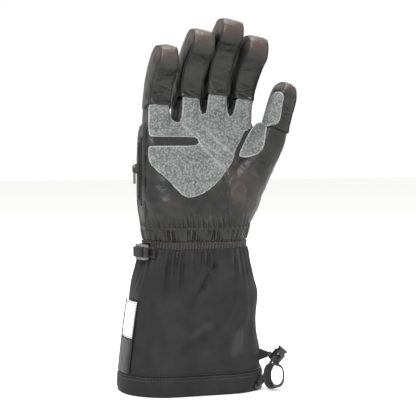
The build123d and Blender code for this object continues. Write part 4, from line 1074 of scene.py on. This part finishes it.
def makeKnucklePad():
    # a foam pad on the back: four cells, crowned, with sewn channels between them
    x = np.linspace(-36, 47, 120)[None, :]
    z = np.linspace(203, 238, 50)[:, None]
    x, z = np.broadcast_arrays(x, z)
    middle, a, b, r = levelsAt(hand["levels"], z)
    base = (b - r) + np.sqrt(np.clip(r**2 - np.clip(np.abs(x - middle) - (a - r), 0, None) ** 2, 0, None))
    u, v = (x - 5.5) / 41.5, (z - 220.5) / 17.5
    crown = (1 - np.abs(u) ** 6) * (1 - np.abs(v) ** 4)
    channels = sum(np.exp(-(((x - at) / 1.6) ** 2)) for at in (-20.0, 6.5, 33.0))
    height = 0.6 + 3.6 * crown * (1 - 0.85 * np.clip(channels, 0, 1))
    points = np.stack([x, base + height, z], -1)
    points[..., 1] += 0.15 * smoothNoise(points, 8, 61)
    pad = gridPiece("knucklePad", points, "waxedGoatLeather", body="hand", wall=1.2, middle=(5.5, -60, 220))
    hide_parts("knuckle_pad")
    ring = np.vstack([points[0], points[1:, -1], points[-1, ::-1][1:], points[::-1, 0][1:-1]])
    pipingPiece("knucklePadPiping", [evenPath(ring, 1.5, True)], 0.6, (0, 1, 0.001), "waxedSideLeather",
                body="hand",
                closed=True)


def makeZipTape():
    for name, low, high in (("zipTapeFront", -4.0, 1.35), ("zipTapeBack", 1.65, 7.0)):
        y, z = np.linspace(low, high, 9)[None, :], np.linspace(169, 231, 60)[:, None]
        y, z = np.broadcast_arrays(y, z)
        x = -47.75 + 0.12 * ((y - 1.5) / 5.5) ** 2
        tape = gridPiece(name, np.stack([x, y, z], -1), "wovenNylonWebbing", body="hand", wall=0.7,
                         middle=(0, 0, 200))
        if name == "zipTapeFront":
            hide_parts("zip_tape")
    rows = [np.stack([np.full(40, -47.9), np.full(40, y), np.linspace(170, 230, 40)], -1) for y in (-3.2,
            6.2)]
    stitchPiece("zipStitches", rows, (1, 0, 0), body="hand", thread=0.25, pitch=2.6, length=1.8)


palmPoints = makePalm(hand)
makePatch(gripPatch)
makeKnucklePad()
makeZipTape()
print("hand made")

# thumb root
thumbRoot = {
    # middle, half width, half depth of each ring from the ball of the thumb to its root
    "rings": [((34, -6, 160), 22, 19), ((40, -9, 174), 23, 20.5), ((46, -11.5, 187), 21.5, 20),
              ((54.5, -14, 200), 18.6, 18),
              ((63.5, -16, 213.5), 15.4, 15.2), ((71.5, -17, 226), 12.6, 12.6)],
}


def makeThumbRoot(spec):
    # an oval carried from inside the ball of the hand to the thumb's root, and on up under the thumb's
    # leather
    d = digits["thumb"]
    foot, axis = np.array(d["root"], float), d["axes"][2]
    centres = [np.array(c, float) for c, _, _ in spec["rings"]] + [foot + axis * 10, foot + axis * 19]
    widths = [w for _, w, _ in spec["rings"]] + [d["halfWidth"] + 0.1, d["halfWidth"] - 0.7]
    depths = [h for _, _, h in spec["rings"]] + [d["halfDepth"] - 0.3, d["halfDepth"] - 0.7]
    centres = np.array(centres)
    lengths = np.r_[0, np.cumsum(np.linalg.norm(np.diff(centres, axis=0), axis=1))]
    at = np.linspace(0, lengths[-1], 90)
    table = np.c_[centres, widths, depths]
    slopes = np.gradient(table, lengths, axis=0)
    i = np.clip(np.searchsorted(lengths, at) - 1, 0, len(lengths) - 2)
    h = (lengths[i + 1] - lengths[i])[:, None]
    t = ((at - lengths[i])[:, None]) / h
    rows = ((2 * t**3 - 3 * t**2 + 1) * table[i] + (t**3 - 2 * t**2 + t) * h * slopes[i]
            + (3 * t**2 - 2 * t**3) * table[i + 1] + (t**3 - t**2) * h * slopes[i + 1])
    path, w, depth = rows[:, :3], rows[:, 3], rows[:, 4]
    tangent = np.gradient(path, axis=0)
    tangent /= np.linalg.norm(tangent, axis=1, keepdims=True)
    padDir = np.array([0, -1.0, 0]) - tangent * (-tangent[:, 1:2])
    padDir /= np.linalg.norm(padDir, axis=1, keepdims=True)
    side = np.cross(-padDir, tangent)
    angle = np.linspace(0, 2 * np.pi, 121)[:-1]
    power = 0.86 - 0.26 * smoothStep(0.55, 0.85, np.linspace(0, 1, 90))[:, None]
    cosA, sinA = np.cos(angle)[None, :], np.sin(angle)[None, :]
    kx, ky = np.sign(sinA) * np.abs(sinA) ** power, np.sign(cosA) * np.abs(cosA) ** power
    points = (path[:, None] + (w[:, None] * kx)[..., None] * side[:, None] + (depth[:, None] * ky)[...,
            None] * padDir[:, None])
    x, z = points[..., 0], points[..., 2]
    relief = 0.4 * smoothNoise(points, 20, 71) + 0.2 * smoothNoise(points, 7, 72)
    relief = relief + creaseLine(x, z, (46, 214), (66, 206), -0.9, 2.0) + creaseLine(x, z, (40, 205),
            (58, 190), -0.8, 2.2)
    points = points + gridNormals(points, around=True) * relief[..., None]
    piece = gridPiece("thumbRoot", points, "waxedGoatLeather", around=True, wall=0.9,
                      wear=0.16 * smoothStep(-0.4, 0.9, smoothNoise(points, 24, 73)) * smoothStep(222, 200,
                      z))
    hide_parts("thumb_gusset", "thumb_base")
    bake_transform(piece)
    return points


thumbPoints = makeThumbRoot(thumbRoot)


def makeThumbPad():
    # the grip patch on the thumb: an outline unrolled on the pad, its corner and the wall that faces the
    # fingers
    d = digits["thumb"]
    outline = np.array([(-3.4, 44), (-4.6, 48.5), (-8.0, 50.5), (-12.0, 49.5), (-16.5, 43), (-19.5, 33),
                        (-20.5, 24),
                        (-20.5, 11.5), (-9.0, 11.5), (-8.4, 15.0), (-5.0, 15.4), (-2.0, 18.5), (-1.6, 26)],
                        float)
    outline = softCorners(outline, 2, closed=True)
    q, s, faces = cutSheet(outline, -1e3, 1e3, -1e3, 1e3, 0.9)
    w, r = digitWidth(d, s), d["corner"]
    away = np.abs(q)
    beta = np.clip((away - (w - r)) / r, 0, np.pi / 2)
    beyond = np.clip(away - (w - r) - r * np.pi / 2, 0, None)
    rim = outlineDistance(q, s, outline)
    rise = 1.25 + 0.1 * smoothNoise(np.stack([q, s, 0 * q], -1), 5, 81) - 0.4 * smoothStep(-1.0, 0.0, rim)
    x = -(np.minimum(away, w - r) + r * np.sin(beta) + rise * np.sin(beta) + 0.5 * np.sin(beta))
    out = d["halfDepth"] - r + r * np.cos(beta) - beyond + rise * np.cos(beta) + 0.4 * np.cos(beta)
    y, z, theta = digitLine(d, s)
    reach = d["tipRound"] * smoothStep(d["length"] - 8, d["length"] + d["halfDepth"], s) ** 2
    x = x * (1 - reach) + digitSway(d, s)
    local = np.stack([x, y - out * np.cos(theta), z - out * np.sin(theta)], -1)
    wear = smoothStep(-1.0, -0.35, rim) * 0.85
    middle = fromDigit(d, np.array([4.0, 2.0, 25]))
    piece = addPiece("thumbGripTab", fromDigit(d, local), faces, "embossedGripSuede", wear=wear, wall=1.5,
                     middle=middle)
    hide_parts("thumb_grip_tab")
    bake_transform(piece)


def frontRelief(surfaces, turn, cell):
    # the nearest depth towards a horizontal direction, on a net of cells over across and up, filled and
    # smoothed
    c, k = math.cos(math.radians(turn)), math.sin(math.radians(turn))
    points = np.vstack([p.reshape(-1, 3) for p in surfaces])
    across, near = points[:, 0] * c + points[:, 1] * k, points[:, 0] * k - points[:, 1] * c
    low = np.array([across.min(), points[:, 2].min()])
    size = np.ceil((np.array([across.max(), points[:, 2].max()]) - low) / cell).astype(int) + 2
    net = np.full(size, -1e3)
    i, j = ((across - low[0]) / cell).astype(int), ((points[:, 2] - low[1]) / cell).astype(int)
    np.maximum.at(net, (i, j), near)
    for step in range(40):
        shifted = np.stack([np.roll(net, (di, dj), (0, 1)) for di in (-1, 0, 1) for dj in (-1, 0, 1)])
        known = shifted > -900
        mean = np.where(known, shifted, 0).sum(0) / np.maximum(known.sum(0), 1)
        net = np.where((net < -900) & (known.sum(0) > 0) if step < 38 else True, mean, net)

    def depthAt(u, z):
        fi, fj = (u - low[0]) / cell - 0.5, (z - low[1]) / cell - 0.5
        i, j = np.floor(fi).astype(int), np.floor(fj).astype(int)
        a, b = fi - i, fj - j
        return ((1 - a) * (1 - b) * net[i, j] + a * (1 - b) * net[i + 1, j] + (1 - a) * b * net[i, j + 1]
                + a * b * net[i + 1, j + 1])

    return depthAt


def makeThumbWeb():
    # the patch's lower half: it lies over the web between the ball of the hand and the thumb
    outline = np.array([(70.5, 241), (69.6, 236), (68.4, 228), (67.2, 221), (64, 217), (59.9, 214.6),
                        (53, 212.8), (45.4, 213),
                        (44.8, 216), (48.3, 223), (52.5, 232), (57.5, 240), (61.5, 244.5), (66, 245)], float)
    outline = softCorners(outline, 2, closed=True)
    turn = -18.0
    depthAt = frontRelief([palmPoints, thumbPoints, thumbLeatherPoints], turn, 1.2)
    u, z, faces = cutSheet(outline, -1e3, 1e3, -1e3, 1e3, 0.9)
    rim = outlineDistance(u, z, outline)
    near = depthAt(u, z) + 1.1 - 0.4 * smoothStep(-1.0, 0.0, rim)
    c, k = math.cos(math.radians(turn)), math.sin(math.radians(turn))
    world = np.stack([u * c + near * k, u * k - near * c, z], -1)
    piece = addPiece("thumbWebPatch", world, faces, "embossedGripSuede",
                     wear=smoothStep(-1.0, -0.35, rim) * 0.85,
                     wall=1.8, middle=(70, 60, 225))
    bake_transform(piece)


makeThumbPad()
makeThumbWeb()
print("thumb made")

# CAD parts that keep their shape
hardware = {"wrist_buckle": "lacqueredZinc", "hem_eyelet": "platedSteel", "lock_spring": "platedSteel",
            "lock_barrel": "mouldedAcetal", "lock_plunger": "mouldedAcetal", "zip_teeth": "mouldedAcetal",
            "zip_slider": "platedSteel", "zip_pull": "platedSteel"}
for node, finish in hardware.items():
    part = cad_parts[node]
    if not part.material_slots:
        part.data.materials.append(None)
    for materialSlot in part.material_slots:
        materialSlot.material = made[finish]
print("hardware finished")

# floor and light
studio = {"floor": "#f4f4f3", "world": 1.02,
          "lamps": [("key", (-0.8, -1.2, 1.3), 0.5, 24), ("fill", (1.3, -0.9, 0.6), 0.9, 3),
                    ("top", (0.1, 0.1, 1.6), 0.7, 18),
                    ("rim", (0.9, 1.2, 0.9), 0.7, 10)]}


def makeStudio(spec):
    size = 6.0
    corners = np.array([(-size, -size, 0), (size, -size, 0), (size, size, 0), (-size, size, 0)]) / mm
    floorFinish = bpy.data.materials.new("paintedFloor")
    floorFinish.use_nodes = True
    shader = floorFinish.node_tree.nodes["Principled BSDF"]
    shader.inputs["Base Color"].default_value = linearOf(spec["floor"])
    shader.inputs["Roughness"].default_value = 0.9
    made["paintedFloor"] = floorFinish
    floor = addPiece("floor", corners, np.array([[0, 1, 2, 3]]), "paintedFloor", middle=False, smooth=False)
    world = bpy.data.worlds.new("studio")
    world.use_nodes = True
    world.node_tree.nodes["Background"].inputs["Color"].default_value = (1, 1, 1, 1)
    world.node_tree.nodes["Background"].inputs["Strength"].default_value = spec["world"]
    bpy.context.scene.world = world
    bpy.context.scene.view_settings.view_transform = "Standard"     # whites stay white and blacks stay deep
    for name, place, width, power in spec["lamps"]:
        data = bpy.data.lights.new(name, "AREA")
        data.shape = "SQUARE"
        data.size = width
        data.energy = power
        lamp = bpy.data.objects.new(name, data)
        lamp.location = place
        lamp.rotation_mode = "QUATERNION"
        lamp.rotation_quaternion = (Vector((0, 0, 0.17)) - Vector(place)).to_track_quat("-Z", "Y")
        bpy.context.collection.objects.link(lamp)


makeStudio(studio)
print("studio made")
